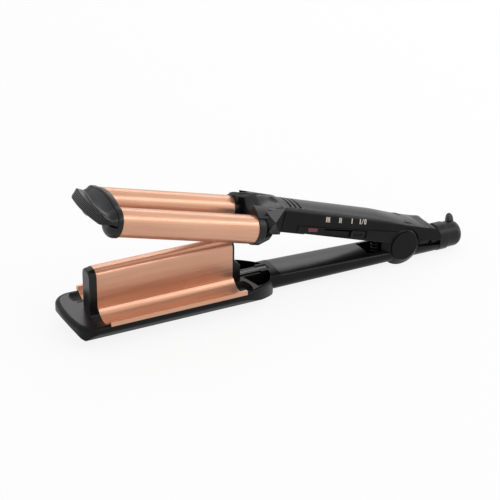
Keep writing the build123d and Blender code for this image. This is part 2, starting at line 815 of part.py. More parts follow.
def switch_cover_body(grow=0.0, side=0.0):
    """Belly of the upper handle round the switch, with a rounded front and a slanted rear."""
    with BuildPart() as belly:
        with BuildSketch(side_plane(upper)) as outline:
            with BuildLine():
                Polyline(
                    (cover_front, cover_top),
                    (cover_front, 7.0),
                    (cover_front + 3.0, belly_front - cover_proud),
                    (cover_rear_low, belly_rear - cover_proud),
                    (cover_rear, cover_top - 0.4),
                    close=True,
                )
            make_face()
            if grow:
                offset(amount=grow, kind=Kind.INTERSECTION, mode=Mode.REPLACE)
        extrude(amount=upper_half + cover_proud + side, both=True)
    return belly.part


for name, side in (("barrel_near", -1), ("barrel_far", 1)):
    with BuildPart() as barrel:
        with BuildSketch(cross_plane(upper, barrel_front)):
            with Locations((side * barrel_y, barrel_height)):
                Circle(barrel_radius)
                Circle(barrel_radius - barrel_wall, mode=Mode.SUBTRACT)
        extrude(amount=barrel_rear - barrel_front)
    finish(barrel, name)

for name, side in (("spreader_near", -1), ("spreader_far", 1)):
    with BuildPart() as spreader:
        with BuildSketch(cross_plane(upper, barrel_front + spigot + 2)):
            with Locations((side * barrel_y, barrel_height)):
                Circle(barrel_radius - barrel_wall - spreader_clearance)
                Rectangle(
                    barrel_heater_width + 2 * joint_gap, heater_thickness + 2 * joint_gap, mode=Mode.SUBTRACT
                )
        extrude(amount=barrel_rear - barrel_front - 2 * spigot - 4)
    finish(spreader, name)

for name, side in (("heater_near", -1), ("heater_far", 1)):
    with BuildPart() as heater:
        with BuildSketch(cross_plane(upper, barrel_front + spigot + 6)):
            with Locations((side * barrel_y, barrel_height)):
                Rectangle(barrel_heater_width, heater_thickness)
        extrude(amount=barrel_rear - barrel_front - 2 * spigot - 12)
    finish(heater, name)

for name, side in (("barrel_end_near", -1), ("barrel_end_far", 1)):
    with BuildPart() as barrel_end:
        # Rounded nose under the tip guard, and a plug in the barrel.
        with BuildSketch(side_plane(upper, side * barrel_y)):
            with BuildLine():
                Polyline(
                    (nose_dome, barrel_height),
                    (flange_front, barrel_height),
                    (flange_front, barrel_height - nose_radius),
                    (flange_front - 1.2, barrel_height - nose_radius),
                )
                ThreePointArc(
                    (flange_front - 1.2, barrel_height - nose_radius),
                    (nose_dome + 1.4, barrel_height - 0.78 * nose_radius),
                    (nose_dome, barrel_height - 0.42 * nose_radius),
                )
                Line((nose_dome, barrel_height - 0.42 * nose_radius), (nose_dome, barrel_height))
            make_face()
        revolve(axis=long_axis(upper, side * barrel_y, barrel_height))
        with BuildSketch(level_plane(upper, tip_low)):
            Rectangle(2 * room, room)
        extrude(amount=room, mode=Mode.SUBTRACT)
        with BuildSketch(cross_plane(upper, flange_front)):
            with Locations((side * barrel_y, barrel_height)):
                Circle(barrel_radius - barrel_wall - joint_gap)
        extrude(amount=barrel_front - flange_front + spigot)
    finish(barrel_end, name)


def flange_outline():
    """Oval across both barrels, with a collar round each."""
    with BuildSketch() as outline:
        with Locations((0, barrel_height)):
            Ellipse(flange_half, flange_height)
        with Locations((-barrel_y, barrel_height), (barrel_y, barrel_height)):
            Circle(barrel_radius + collar_wall)
    return outline.sketch


def tip_body(inset=0.0):
    """Body ahead of the flange: its bowed front leans back, and its top rises to the flange."""
    with BuildPart() as body:
        with BuildSketch(level_plane(upper, tip_low)):
            with BuildLine():
                front = ThreePointArc(
                    (leaf_end[0] + inset, leaf_end[1] - inset),
                    (leaf_front + inset, 0),
                    (leaf_end[0] + inset, inset - leaf_end[1]),
                )
                near = ThreePointArc(
                    front @ 1, (leaf_flank[0], inset - leaf_flank[1]), (flange_front, inset - collar_side)
                )
                far = ThreePointArc(
                    front @ 0, (leaf_flank[0], leaf_flank[1] - inset), (flange_front, collar_side - inset)
                )
                Polyline(
                    near @ 1,
                    (flange_rear, inset - collar_side),
                    (flange_rear, collar_side - inset),
                    far @ 1,
                )
            make_face()
        lean = Vector(0, 0, 1).rotate(Axis.Y, leaf_slant)
        extrude(amount=2 * flange_height, dir=upper.from_local_coords(lean) - upper.origin)
        with BuildSketch(cross_plane(upper, flange_front)):
            add(flange_outline())
        extrude(amount=leaf_front - flange_front, mode=Mode.INTERSECT)
        with BuildSketch(side_plane(upper)):
            with BuildLine():
                Polyline(
                    (leaf_front, tip_low),
                    (leaf_front, tip_top),
                    (brow_x, tip_top),
                    (flange_front, barrel_height + flange_height),
                    (flange_front, tip_low),
                    close=True,
                )
            make_face()
        extrude(amount=collar_side, both=True, mode=Mode.INTERSECT)
    return body.part


def dish():
    """Hollow between the finger rest and the flange, flared upwards and towards both sides."""
    with BuildPart() as hollow:
        with BuildSketch(level_plane(upper, dish_floor)):
            with Locations((dish_floor_x, 0)):
                Ellipse(*dish_floor_half)
        with BuildSketch(level_plane(upper, dish_rim)):
            with Locations((dish_rim_x, 0)):
                Ellipse(*dish_rim_half)
        loft()
    return hollow.part


def grip_skin():
    """Front of the finger rest below its lip, grip_thickness deep."""
    with BuildPart() as skin:
        add(tip_body())
        add(tip_body(grip_thickness), mode=Mode.SUBTRACT)
        with BuildSketch(level_plane(upper, tip_low)):
            with Locations((leaf_front, 0)):
                Rectangle(2 * (brow_x - leaf_front), 2 * grip_half)
        extrude(amount=grip_top - tip_low, mode=Mode.INTERSECT)
    return skin.part


def grip_grooves():
    """Fine level grooves that follow the bow of the finger rest."""
    with BuildPart() as grooves:
        for i in range(groove_count):
            with BuildSketch(level_plane(upper, tip_low + groove_start + i * groove_pitch)):
                Rectangle(2 * room, room)
            extrude(amount=groove_height)
        add(tip_body(), mode=Mode.INTERSECT)
        add(tip_body(groove_depth), mode=Mode.SUBTRACT)
    return grooves.part


def rib_arch():
    """Opening that the rib passes under; its roof falls away ahead of the flange."""
    with BuildPart() as opening:
        with BuildSketch(side_plane(upper)):
            with BuildLine():
                Polyline(
                    (flange_rear + 1, arch_top),
                    (flange_front, arch_top - 1.5),
                    (arch_front, arch_low),
                    (arch_front, -barrel_radius),
                    (flange_rear + 1, -barrel_radius),
                    close=True,
                )
            make_face()
        extrude(amount=arch_half, both=True)
        with BuildSketch(cross_plane(upper, arch_front)) as arch:
            with Locations((0, arch_top)):
                Rectangle(2 * arch_half, room, align=(Align.CENTER, Align.MAX))
            fillet(arch.vertices().group_by(Axis.Y)[-1], radius=rib_round)
        extrude(amount=flange_rear + 1 - arch_front, mode=Mode.INTERSECT)
    return opening.part


with BuildPart() as tip_guard:
    # Flange across both barrels.
    with BuildSketch(cross_plane(upper, flange_front)):
        add(flange_outline())
    extrude(amount=flange_rear - flange_front)
    # Finger rest with its dish, the seat of its ribbed skin and a notch at each end of that.
    add(tip_body())
    add(dish(), mode=Mode.SUBTRACT)
    add(grip_skin(), mode=Mode.SUBTRACT)
    with BuildSketch(level_plane(upper, tip_low)):
        with Locations((leaf_end[0], -leaf_end[1] - joint_gap), (leaf_end[0], leaf_end[1] + joint_gap)):
            Circle(grip_notch)
    extrude(amount=tip_top - tip_low, mode=Mode.SUBTRACT)
    # Barrel seats, and the arch.
    with BuildSketch(cross_plane(upper, barrel_front)):
        with Locations((-barrel_y, barrel_height), (barrel_y, barrel_height)):
            Circle(barrel_radius)
    extrude(amount=flange_rear - barrel_front, mode=Mode.SUBTRACT)
    with BuildSketch(cross_plane(upper, flange_front)):
        with Locations((-barrel_y, barrel_height), (barrel_y, barrel_height)):
            Circle(barrel_radius - barrel_wall)
    extrude(amount=flange_rear - flange_front, mode=Mode.SUBTRACT)
    add(rib_arch(), mode=Mode.SUBTRACT)
finish(tip_guard, "tip_guard")

with BuildPart() as tip_grip:
    # Ribbed skin on the front of the finger rest.
    add(grip_skin())
    add(grip_grooves(), mode=Mode.SUBTRACT)
finish(tip_grip, "tip_grip")


def neck():
    """Block between the arch and the handle, with a four-sided facet on each flank."""
    line = Vector(facet_heel[0] - facet_foot[0], facet_heel[1] - facet_foot[1], 0)
    flank = Plane(
        origin=upper.from_local_coords(Vector(*facet_foot, 0)),
        x_dir=upper.x_dir * line.X + upper.y_dir * line.Y,
        z_dir=upper.x_dir * line.Y - upper.y_dir * line.X,
    )
    with BuildPart() as block:
        with BuildSketch(flank, mode=Mode.PRIVATE) as facet:
            with BuildLine():
                Polyline(
                    (0, neck_top[0]),
                    (line.length, neck_top[1]),
                    (line.length + 2, neck_low[1]),
                    (facet_toe, neck_low[0]),
                    close=True,
                )
            make_face()
        apex = Vertex(*flank.from_local_coords(Vector(*facet_apex, facet_proud)))
        loft(sections=[facet.face(), apex], ruled=True)
        mirror(about=Plane.XZ)
        with BuildSketch(level_plane(upper, neck_low[1])):
            with BuildLine():
                Polyline(
                    (neck_front, -neck_half[0]),
                    (holder_rear, -neck_half[1]),
                    (holder_rear, neck_half[1]),
                    (neck_front, neck_half[0]),
                    close=True,
                )
            make_face()
        extrude(amount=neck_top[1] - neck_low[1])
        with BuildSketch(side_plane(upper)):
            with BuildLine():
                Polyline(
                    (facet_foot[0], neck_low[0]),
                    (facet_foot[0], neck_top[0]),
                    (holder_rear, neck_top[1]),
                    (holder_rear, neck_low[1]),
                    (neck_front + 1.3, neck_low[0]),
                    close=True,
                )
            make_face()
        extrude(amount=bridge_half, both=True, mode=Mode.INTERSECT)
    return block.part


with BuildPart() as barrel_holder:
    # Arched bridge over both barrels.
    with BuildSketch(level_plane(upper, 0)):
        with BuildLine():
            near = ThreePointArc(
                (holder_front, 0.4 - bridge_half), (-139.0, -bridge_half * 0.75), (waist[0], -waist[1])
            )
            far = ThreePointArc(
                (holder_front, bridge_half - 0.4), (-139.0, bridge_half * 0.75), waist
            )
            near_neck = Line(near @ 1, (holder_rear, -upper_half))
            far_neck = Line(far @ 1, (holder_rear, upper_half))
            Line(near @ 0, far @ 0)
            Line(near_neck @ 1, far_neck @ 1)
        make_face()
    extrude(amount=60)
    with BuildSketch(cross_plane(upper, holder_front)) as bridge:
        with Locations((0, barrel_height)):
            Ellipse(bridge_half, bridge_height)
        with Locations((0, barrel_height)):
            Ellipse(bridge_half - bridge_thickness, bridge_height - bridge_thickness, mode=Mode.SUBTRACT)
        with Locations((0, bridge_edge)):
            Rectangle(room, room, align=(Align.CENTER, Align.MAX), mode=Mode.SUBTRACT)
    extrude(amount=holder_rear - holder_front, mode=Mode.INTERSECT)
    # Cups round the barrel ends.
    for side in (-1, 1):
        with BuildSketch(side_plane(upper, side * barrel_y)):
            with BuildLine():
                Polyline(
                    (holder_front, barrel_height),
                    (holder_front, barrel_height + barrel_radius + collar_wall),
                    (barrel_rear, barrel_height + barrel_radius + collar_wall),
                    (barrel_rear + 8, barrel_height + barrel_radius - 3),
                    (barrel_rear + 11, barrel_height + barrel_radius - 6),
                    (barrel_rear + 11, barrel_height),
                    close=True,
                )
            make_face()
        revolve(axis=long_axis(upper, side * barrel_y, barrel_height))
    # Gap behind each collar, ahead of the neck.
    with BuildSketch(level_plane(upper, recess_floor)):
        with Locations((sum(recess) / 2, -recess_y - bridge_half / 2), (sum(recess) / 2, recess_y + bridge_half / 2)):
            Rectangle(recess[1] - recess[0], bridge_half)
    extrude(amount=bridge_edge - recess_floor, mode=Mode.SUBTRACT)
    add(neck())
    with BuildSketch(cross_plane(upper, holder_front)):
        with Locations((-barrel_y, barrel_height), (barrel_y, barrel_height)):
            Circle(barrel_radius)
    extrude(amount=barrel_rear - holder_front, mode=Mode.SUBTRACT)
finish(barrel_holder, "barrel_holder")

with BuildPart() as upper_top_cover:
    with BuildSketch(cross_plane(seam)):
        Ellipse(upper_half, crown)
        Ellipse(upper_half - wall, crown - wall + 0.2, mode=Mode.SUBTRACT)
        Rectangle(room, room, align=(Align.CENTER, Align.MAX), mode=Mode.SUBTRACT)
    extrude(amount=handle_rear - holder_rear + 6)
    with BuildSketch(side_plane(upper)):
        add(handle_side())
    extrude(amount=2 * upper_half, both=True, mode=Mode.INTERSECT)
    add(boss_room(), mode=Mode.SUBTRACT)
    # Vents across the crown.
    with BuildSketch(level_plane(upper, 0)):
        with Locations([(vent_x + i * vent_pitch, 0) for i in range(vent_count)]):
            SlotOverall(2 * vent_half, vent_width, rotation=90)
    extrude(amount=60, mode=Mode.SUBTRACT)
finish(upper_top_cover, "upper_top_cover")

with BuildPart() as upper_housing:
    with BuildSketch(cross_plane(upper, holder_rear)) as casing:
        Rectangle(2 * upper_half, 60, align=(Align.CENTER, Align.MIN))
    extrude(amount=handle_rear - holder_rear + 6)
    with BuildSketch(side_plane(upper)):
        add(handle_side())
        with BuildLine():
            Polyline(
                (seam_front[0] - 1, seam_z(seam_front[0] - 1)),
                (60, seam_z(60)),
                (60, 100),
                (seam_front[0] - 1, 100),
                close=True,
            )
        make_face(mode=Mode.SUBTRACT)
    extrude(amount=2 * upper_half, both=True, mode=Mode.INTERSECT)
    with BuildSketch(side_plane(upper)):
        with BuildLine():
            Polyline(
                (holder_rear + wall, belly_front + wall),
                (belly_rear_x - 12, belly_rear + wall + 0.4),
                (belly_rear_x - 12, -20),
                (60, -20),
                (60, 60),
                (holder_rear + wall, 60),
                close=True,
            )
        make_face()
    extrude(amount=upper_half - wall, both=True, mode=Mode.SUBTRACT)
    add(switch_cover_body(joint_gap, 30.0), mode=Mode.SUBTRACT)
    add(boss_room(), mode=Mode.SUBTRACT)
    # Rear wall.
    with BuildSketch(side_plane(upper)):
        add(handle_side())
        with BuildLine():
            Polyline((-200, -50), (handle_rear - 3, -50), (handle_rear - 3, 60), (-200, 60), close=True)
        make_face(mode=Mode.SUBTRACT)
        with BuildLine():
            Polyline((0, seam_z(0)), (60, seam_z(60)), (60, 100), (0, 100), close=True)
        make_face(mode=Mode.SUBTRACT)
    extrude(amount=upper_half, both=True)
    with BuildSketch(cross_plane(lower, lug_radius)):
        with Locations((0, tail_z)):
            Circle(tail_radius + seat_gap)
            Rectangle(2 * (tail_radius + seat_gap), 30, align=(Align.CENTER, Align.MAX))
    extrude(amount=40, mode=Mode.SUBTRACT)
    # Lug that turns on the pin, with its arms into the casing.
    with BuildSketch(side_plane(upper)):
        Circle(lug_radius)
        with BuildLine():
            Polyline(
                (-9.0, 4.0),
                (-19.0, lug_arm_low),
                (lug_arm_front, lug_arm_low),
                (lug_arm_front, 15.0),
                (-8.0, seam_z(-8.0)),
                (lug_arm_rear, seam_z(lug_arm_rear) - 1.0),
                (lug_arm_rear, 8.0),
                (7.0, 7.2),
                (0, 0),
                close=True,
            )
        make_face()
        Circle(pin_radius + run_clearance + bush_wall, mode=Mode.SUBTRACT)
    extrude(amount=lug_half, both=True)
    with BuildSketch(cross_plane(upper, lug_arm_front)):
        with Locations((0, cover_top + seat_gap)):
            Rectangle(2 * (upper_half - 0.5), 4.0, align=(Align.CENTER, Align.MIN))
    extrude(amount=wall)
finish(upper_housing, "upper_housing")

with BuildPart() as switch_cover:
    add(switch_cover_body())
    low_edges = switch_cover.edges().filter_by(lambda e: e.length > 80).group_by(Axis.Z)[0]
    fillet(low_edges, radius=cover_corner)
    with BuildSketch(side_plane(upper)):
        with BuildLine():
            Polyline(
                (cover_front - 5, belly_front + cover_floor),
                (cover_rear_low + 10, belly_rear + cover_floor),
                (cover_rear_low + 10, 60),
                (cover_front - 5, 60),
                close=True,
            )
        make_face()
    extrude(amount=upper_half + cover_proud - cover_wall, both=True, mode=Mode.SUBTRACT)
    add(boss_room(), mode=Mode.SUBTRACT)
    # Notch for the spring.
    with BuildSketch(level_plane(upper, -10)):
        with Locations((lug_arm_front - seat_gap, 0)):
            Rectangle(30, 2 * (spring_radius + 1.0), align=(Align.MIN, Align.CENTER))
    extrude(amount=20, mode=Mode.SUBTRACT)
    # Track of the slider on the near side, with a slot for its stem, and the lens's window.
    with BuildSketch(side_plane(upper, -upper_half - cover_proud + track_depth)):
        with Locations((sum(track) / 2, switch_z)):
            Rectangle(track[1] - track[0], track_high - track_low)
    extrude(amount=5, mode=Mode.SUBTRACT)
    with BuildSketch(side_plane(upper, -upper_half + wall)):
        with Locations((sum(track) / 2, slot_z)):
            Rectangle(track[1] - track[0] - 3, stem_height + 2 * seat_gap)
        with Locations((lens_x, lens_z)):
            Rectangle(lens_length + 2 * joint_gap, lens_height + 2 * joint_gap)
    extrude(amount=10, mode=Mode.SUBTRACT)
finish(switch_cover, "switch_cover")

with BuildPart() as indicator_lens:
    with BuildSketch(side_plane(upper, -upper_half - cover_proud + cover_wall)):
        with Locations((lens_x, lens_z)):
            Rectangle(lens_length, lens_height)
    extrude(amount=cover_wall + lens_proud)
    with BuildSketch(side_plane(upper, -upper_half - cover_proud + cover_wall + joint_gap)):
        with Locations((lens_x, lens_z)):
            Rectangle(lens_length + 2, lens_height + 0.6)
    extrude(amount=-lens_flange)
    with BuildSketch(side_plane(upper, -upper_half - cover_proud + cover_wall)):
        with Locations((lens_x, lens_z)):
            Rectangle(lens_length, lens_height)
    extrude(amount=-joint_gap)
finish(indicator_lens, "indicator_lens")

with BuildPart() as circuit_board:
    with BuildSketch(side_plane(upper, board_y)):
        with Locations((board_x, board_z)):
            Rectangle(board_length, board_height)
    extrude(amount=-board_thickness)
    fillet(circuit_board.edges().filter_by(Axis.Y), radius=1.5)
finish(circuit_board, "circuit_board")

with BuildPart() as indicator_lamp:
    with BuildSketch(side_plane(upper, board_y)):
        with Locations((lens_x, lens_z)):
            Circle(lamp_radius)
    extrude(amount=board_y - lamp_end)
    fillet(indicator_lamp.edges().sort_by(Axis.Y)[0], radius=lamp_radius - 0.3)
finish(indicator_lamp, "indicator_lamp")

with BuildPart() as slide_switch:
    with BuildSketch(side_plane(upper, board_y)):
        with Locations((sum(track) / 2, switch_body_z)):
            Rectangle(switch_length, switch_height)
    extrude(amount=switch_depth)
    with BuildSketch(side_plane(upper, board_y - switch_depth)):
        with Locations((sum(track) / 2, switch_z)):
            Rectangle(switch_length - 2, switch_groove)
    extrude(amount=-switch_groove_depth, mode=Mode.SUBTRACT)
finish(slide_switch, "slide_switch")

with BuildPart() as heat_slider:
    # Finger piece in the track, its stem, and the plate and key behind the wall that move the switch.
    track_floor = -upper_half - cover_proud + track_depth
    knob_x = sum(knob) / 2
    with BuildSketch(side_plane(upper, track_floor - joint_gap)):
        with Locations((knob_x, switch_z)):
            Rectangle(knob[1] - knob[0], track_high - track_low - 2 * seat_gap)
    extrude(amount=track_depth + knob_proud)
    fillet(heat_slider.edges().filter_by(Axis.Y), radius=0.8)
    with BuildSketch(side_plane(upper, -upper_half - cover_proud - knob_proud)):
        with Locations((knob_x, switch_z)):
            SlotOverall(knob[1] - knob[0] - 3, 2.6)
    extrude(amount=-1.0, mode=Mode.SUBTRACT)
    with BuildSketch(side_plane(upper, key_plate_y)):
        with Locations((knob_x, slot_z)):
            Rectangle(knob[1] - knob[0] - 4, stem_height)
    extrude(amount=key_plate_y - track_floor + joint_gap)
    with BuildSketch(side_plane(upper, key_plate_y)):
        with Locations((knob_x, sum(key_span) / 2)):
            Rectangle(knob[1] - knob[0], key_span[1] - key_span[0])
    extrude(amount=-key_thickness)
    with BuildSketch(side_plane(upper, key_plate_y)):
        with Locations((knob_x, switch_z)):
            Rectangle(knob[1] - knob[0] - 4, switch_groove - 2 * seat_gap)
    extrude(amount=key_plate_y - key_y)
finish(heat_slider, "heat_slider")

with BuildPart() as hinge_bush:
    with BuildSketch(side_plane(upper)):
        Circle(pin_radius + run_clearance + bush_wall)
        Circle(pin_radius + run_clearance, mode=Mode.SUBTRACT)
    extrude(amount=lug_half, both=True)
finish(hinge_bush, "hinge_bush")

# ---- Cord swivel -------------------------------------------------------------------------

with BuildPart() as cord_gland:
    # Sleeve that turns in the tail, and the rounded end that the cord leaves through.
    with BuildSketch(side_plane(lower)):
        with BuildLine():
            Polyline(
                (sleeve_front, tail_z),
                (sleeve_front, tail_z + sleeve_radius),
                (groove_front, tail_z + sleeve_radius),
                (groove_front, tail_z + groove_radius),
                (groove_front + groove_width, tail_z + groove_radius),
                (groove_front + groove_width, tail_z + sleeve_radius),
                (collar_rear, tail_z + sleeve_radius),
                (collar_rear, tail_z + gland_radius),
                (gland_end - 6, tail_z + gland_radius),
            )
            ThreePointArc(
                (gland_end - 6, tail_z + gland_radius),
                (gland_end - 1.6, tail_z + 0.78 * gland_radius),
                (gland_end, tail_z + 0.45 * gland_radius),
            )
            Polyline((gland_end, tail_z + 0.45 * gland_radius), (gland_end, tail_z), (sleeve_front, tail_z))
        make_face()
    revolve(axis=long_axis(lower, 0, tail_z))
    with BuildSketch(cross_plane(lower, sleeve_front)):
        with Locations((0, tail_z)):
            Circle(cord_radius)
    extrude(amount=gland_end, mode=Mode.SUBTRACT)
finish(cord_gland, "cord_gland")

with BuildPart() as swivel_collar:
    with BuildSketch(cross_plane(lower, collar_front)):
        with Locations((0, tail_z)):
            Circle(collar_radius)
            Circle(sleeve_radius, mode=Mode.SUBTRACT)
    extrude(amount=collar_rear - collar_front)
    fillet(swivel_collar.edges().filter_by(GeomType.CIRCLE).group_by(SortBy.RADIUS)[-1], radius=0.8)
finish(swivel_collar, "swivel_collar")

with BuildPart() as hang_tab:
    with BuildSketch(cross_plane(lower, tab_front)) as tab:
        with Locations((tab_y, tail_z)):
            Rectangle(tab_width, tab_top - tail_z, align=(Align.CENTER, Align.MIN))
        fillet(tab.vertices().group_by(Axis.Y)[-1], radius=tab_round)
        with Locations((0, tail_z)):
            Circle(gland_radius, mode=Mode.SUBTRACT)
    extrude(amount=tab_length)
finish(hang_tab, "hang_tab")

with BuildPart() as swivel_retainer:
    with BuildSketch(cross_plane(lower, groove_front + seat_gap)):
        with Locations((0, tail_z)):
            Circle(sleeve_radius + seat_gap)
            Circle(groove_radius + seat_gap, mode=Mode.SUBTRACT)
            Rectangle(room, room, align=(Align.CENTER, Align.MIN), mode=Mode.SUBTRACT)
    extrude(amount=groove_width - 2 * seat_gap)
finish(swivel_retainer, "swivel_retainer")
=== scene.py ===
"""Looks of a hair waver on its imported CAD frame: finishes, smooth pieces, marks, light and camera.

Everything is in metres in the frame's own axes: +X from the tips to the cord end, +Z up, and the
switch side faces -Y. Places on the upper arm are worked out in the arm's own axes, X along the
arm from the hinge and Z up from it, and then turned with the arm. Named sizes and places of the
object are in millimetres, and those of the stage and the camera in metres.

Seven CAD nodes are replaced by pieces that are cut, bent or skinned here: the tip guard and its
finger rest, the barrel holder, the top cover, the slider, the hang tab and the return spring.
"""

import json
import math

import bmesh
import bpy
from mathutils import Matrix, Vector

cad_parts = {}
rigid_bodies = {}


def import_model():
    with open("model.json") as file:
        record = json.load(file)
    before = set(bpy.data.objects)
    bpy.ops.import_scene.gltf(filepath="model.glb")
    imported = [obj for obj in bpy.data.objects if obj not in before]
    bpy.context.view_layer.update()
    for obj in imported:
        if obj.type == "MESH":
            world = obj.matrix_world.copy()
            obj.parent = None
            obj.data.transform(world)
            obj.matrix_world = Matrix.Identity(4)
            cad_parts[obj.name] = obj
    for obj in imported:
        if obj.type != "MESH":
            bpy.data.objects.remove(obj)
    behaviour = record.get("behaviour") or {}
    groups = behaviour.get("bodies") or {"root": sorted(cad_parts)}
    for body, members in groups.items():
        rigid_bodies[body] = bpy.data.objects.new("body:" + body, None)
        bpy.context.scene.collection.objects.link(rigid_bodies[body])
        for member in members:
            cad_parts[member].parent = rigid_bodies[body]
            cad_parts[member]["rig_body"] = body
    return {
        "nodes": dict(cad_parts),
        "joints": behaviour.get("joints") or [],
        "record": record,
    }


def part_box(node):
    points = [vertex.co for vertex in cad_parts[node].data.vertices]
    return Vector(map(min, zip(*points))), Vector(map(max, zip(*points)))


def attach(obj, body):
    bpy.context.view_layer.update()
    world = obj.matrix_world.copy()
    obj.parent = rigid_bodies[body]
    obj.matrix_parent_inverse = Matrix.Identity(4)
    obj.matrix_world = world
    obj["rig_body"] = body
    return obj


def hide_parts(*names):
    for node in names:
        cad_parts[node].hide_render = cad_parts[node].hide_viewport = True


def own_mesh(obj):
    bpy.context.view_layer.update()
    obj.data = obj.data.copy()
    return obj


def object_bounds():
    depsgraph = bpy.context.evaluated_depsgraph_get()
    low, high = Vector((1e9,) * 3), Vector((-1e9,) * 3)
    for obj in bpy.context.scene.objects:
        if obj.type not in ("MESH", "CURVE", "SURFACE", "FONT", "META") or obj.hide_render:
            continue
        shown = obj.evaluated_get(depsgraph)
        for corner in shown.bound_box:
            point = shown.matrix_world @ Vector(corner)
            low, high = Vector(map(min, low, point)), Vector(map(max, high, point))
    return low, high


MM = 0.001

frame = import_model()
nodes = frame["nodes"]
cad_low, cad_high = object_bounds()
joints = {joint["name"]: joint for joint in frame["joints"]}
slots = {part["node"]: part["material_slot"] for part in frame["record"]["subparts"]}

# ---- Axes ----------------------------------------------------------------------------------
hinge = Vector(joints["arm_hinge"]["pos_m"])
slide = Vector(joints["heat_slide"]["axis"])
arm_tilt = math.atan2(slide.z, -slide.x)
upper_arm = Matrix.Translation(hinge) @ Matrix.Rotation(arm_tilt, 4, "Y")
frame_axes = Matrix.Identity(4)

# ---- Shader helpers ------------------------------------------------------------------------


def set_input(tree, socket, value):
    """Sets a socket to a value, or links it where the value is a socket."""
    if isinstance(value, bpy.types.NodeSocket):
        tree.links.new(value, socket)
    else:
        socket.default_value = value


def add_node(tree, kind, **inputs):
    """A shader node with the given sockets."""
    made = tree.nodes.new(kind)
    for name, value in inputs.items():
        set_input(tree, made.inputs[name.replace("_", " ")], value)
    return made


def combine(tree, operation, first, second):
    """Two values joined by a maths operation."""
    made = tree.nodes.new("ShaderNodeMath")
    made.operation = operation
    set_input(tree, made.inputs[0], first)
    set_input(tree, made.inputs[1], second)
    return made.outputs[0]


def arm_coordinates(tree, tilt, stretch=(1.0, 1.0, 1.0)):
    """Texture position in an arm's own axes, stretched along them."""
    place = add_node(tree, "ShaderNodeTexCoord")
    level = add_node(
        tree, "ShaderNodeMapping", Vector=place.outputs["Object"], Rotation=(0.0, -tilt, 0.0)
    )
    scaled = add_node(tree, "ShaderNodeMapping", Vector=level.outputs["Vector"], Scale=stretch)
    return scaled.outputs["Vector"]


def noise(tree, vector, scale, detail=3.0):
    """Noise value from 0 to 1, at so many features to the metre."""
    made = add_node(tree, "ShaderNodeTexNoise", Vector=vector, Scale=scale, Detail=detail)
    return made.outputs["Fac"]


def spread(tree, value, low, high):
    """The middle of a noise value, spread from low to high."""
    limits = {"From_Min": 0.3, "From_Max": 0.7, "To_Min": low, "To_Max": high}
    return add_node(tree, "ShaderNodeMapRange", Value=value, **limits).outputs["Result"]


def two_tone(tree, value, first, second):
    """Colour between two tones by a noise value."""
    ramp = add_node(tree, "ShaderNodeValToRGB", Fac=value)
    for element, position, tone in zip(ramp.color_ramp.elements, (0.35, 0.65), (first, second)):
        element.position = position
        element.color = (*tone, 1.0)
    return ramp.outputs["Color"]


def relief(tree, height, depth, normal=None):
    """Bump of the given depth in millimetres, over an earlier normal if there is one."""
    bump = add_node(tree, "ShaderNodeBump", Height=height, Distance=depth * MM, Strength=1.0)
    if normal is not None:
        tree.links.new(normal, bump.inputs["Normal"])
    return bump.outputs["Normal"]


def soft_edges(tree, radius):
    """Normal that rounds sharp edges by a radius in millimetres."""
    bevel = add_node(tree, "ShaderNodeBevel", Radius=radius * MM)
    bevel.samples = 6
    return bevel.outputs["Normal"]


def mixed_shader(tree, share, first, second):
    """One shader, passing into another by a share."""
    mixed = tree.nodes.new("ShaderNodeMixShader")
    for socket, source in zip(mixed.inputs, (share, first, second)):
        tree.links.new(source, socket)
    return mixed.outputs[0]


def start_material(name):
    """A plain Principled material."""
    material = bpy.data.materials.new(name)
    material.use_nodes = True
    tree = material.node_tree
    return material, tree, tree.nodes["Principled BSDF"]


# ---- Finishes ------------------------------------------------------------------------------


def coated_metal(name, tilt):
    """Rose-gold ceramic coat over polished aluminium, with faint streaks along the arm."""
    material, tree, shader = start_material(name)
    cloud = noise(tree, arm_coordinates(tree, tilt, (1.0, 3.0, 3.0)), 18.0)
    streaks = noise(tree, arm_coordinates(tree, tilt, (0.02, 1.0, 1.0)), 700.0)
    grain = noise(tree, arm_coordinates(tree, tilt), 5200.0, 2.0)
    mottle = combine(tree, "ADD", spread(tree, cloud, 0.2, 0.4), spread(tree, streaks, 0.1, 0.4))
    toned = two_tone(tree, mottle, (0.575, 0.305, 0.195), (0.655, 0.36, 0.24))
    tree.links.new(toned, shader.inputs["Base Color"])
    tree.links.new(spread(tree, streaks, 0.28, 0.36), shader.inputs["Roughness"])
    lined = relief(tree, streaks, 0.007, soft_edges(tree, 0.3))
    tree.links.new(relief(tree, grain, 0.0012, lined), shader.inputs["Normal"])
    shader.inputs["Metallic"].default_value = 0.72
    return material


def moulded(name, tones, roughness, specular, grain, edge=0.25):
    """Moulded plastic: slight clouding, spark-eroded grain of a given depth and softened edges."""
    material, tree, shader = start_material(name)
    place = arm_coordinates(tree, 0.0)
    cloud = noise(tree, place, 60.0)
    sparks = noise(tree, place, 3600.0, 2.0)
    grained = relief(tree, sparks, grain, soft_edges(tree, edge))
    tree.links.new(two_tone(tree, cloud, *tones), shader.inputs["Base Color"])
    tree.links.new(spread(tree, sparks, roughness - 0.04, roughness + 0.04), shader.inputs["Roughness"])
    tree.links.new(grained, shader.inputs["Normal"])
    shader.inputs["Specular IOR Level"].default_value = specular
    return material


def worked_metal(name, tones, roughness, stretch):
    """Bare metal of an inner part, with tool marks."""
    material, tree, shader = start_material(name)
    marks = noise(tree, arm_coordinates(tree, 0.0, stretch), 1500.0)
    scored = relief(tree, marks, 0.01, soft_edges(tree, 0.15))
    tree.links.new(two_tone(tree, marks, *tones), shader.inputs["Base Color"])
    tree.links.new(spread(tree, marks, roughness - 0.06, roughness + 0.06), shader.inputs["Roughness"])
    tree.links.new(scored, shader.inputs["Normal"])
    shader.inputs["Metallic"].default_value = 1.0
    return material


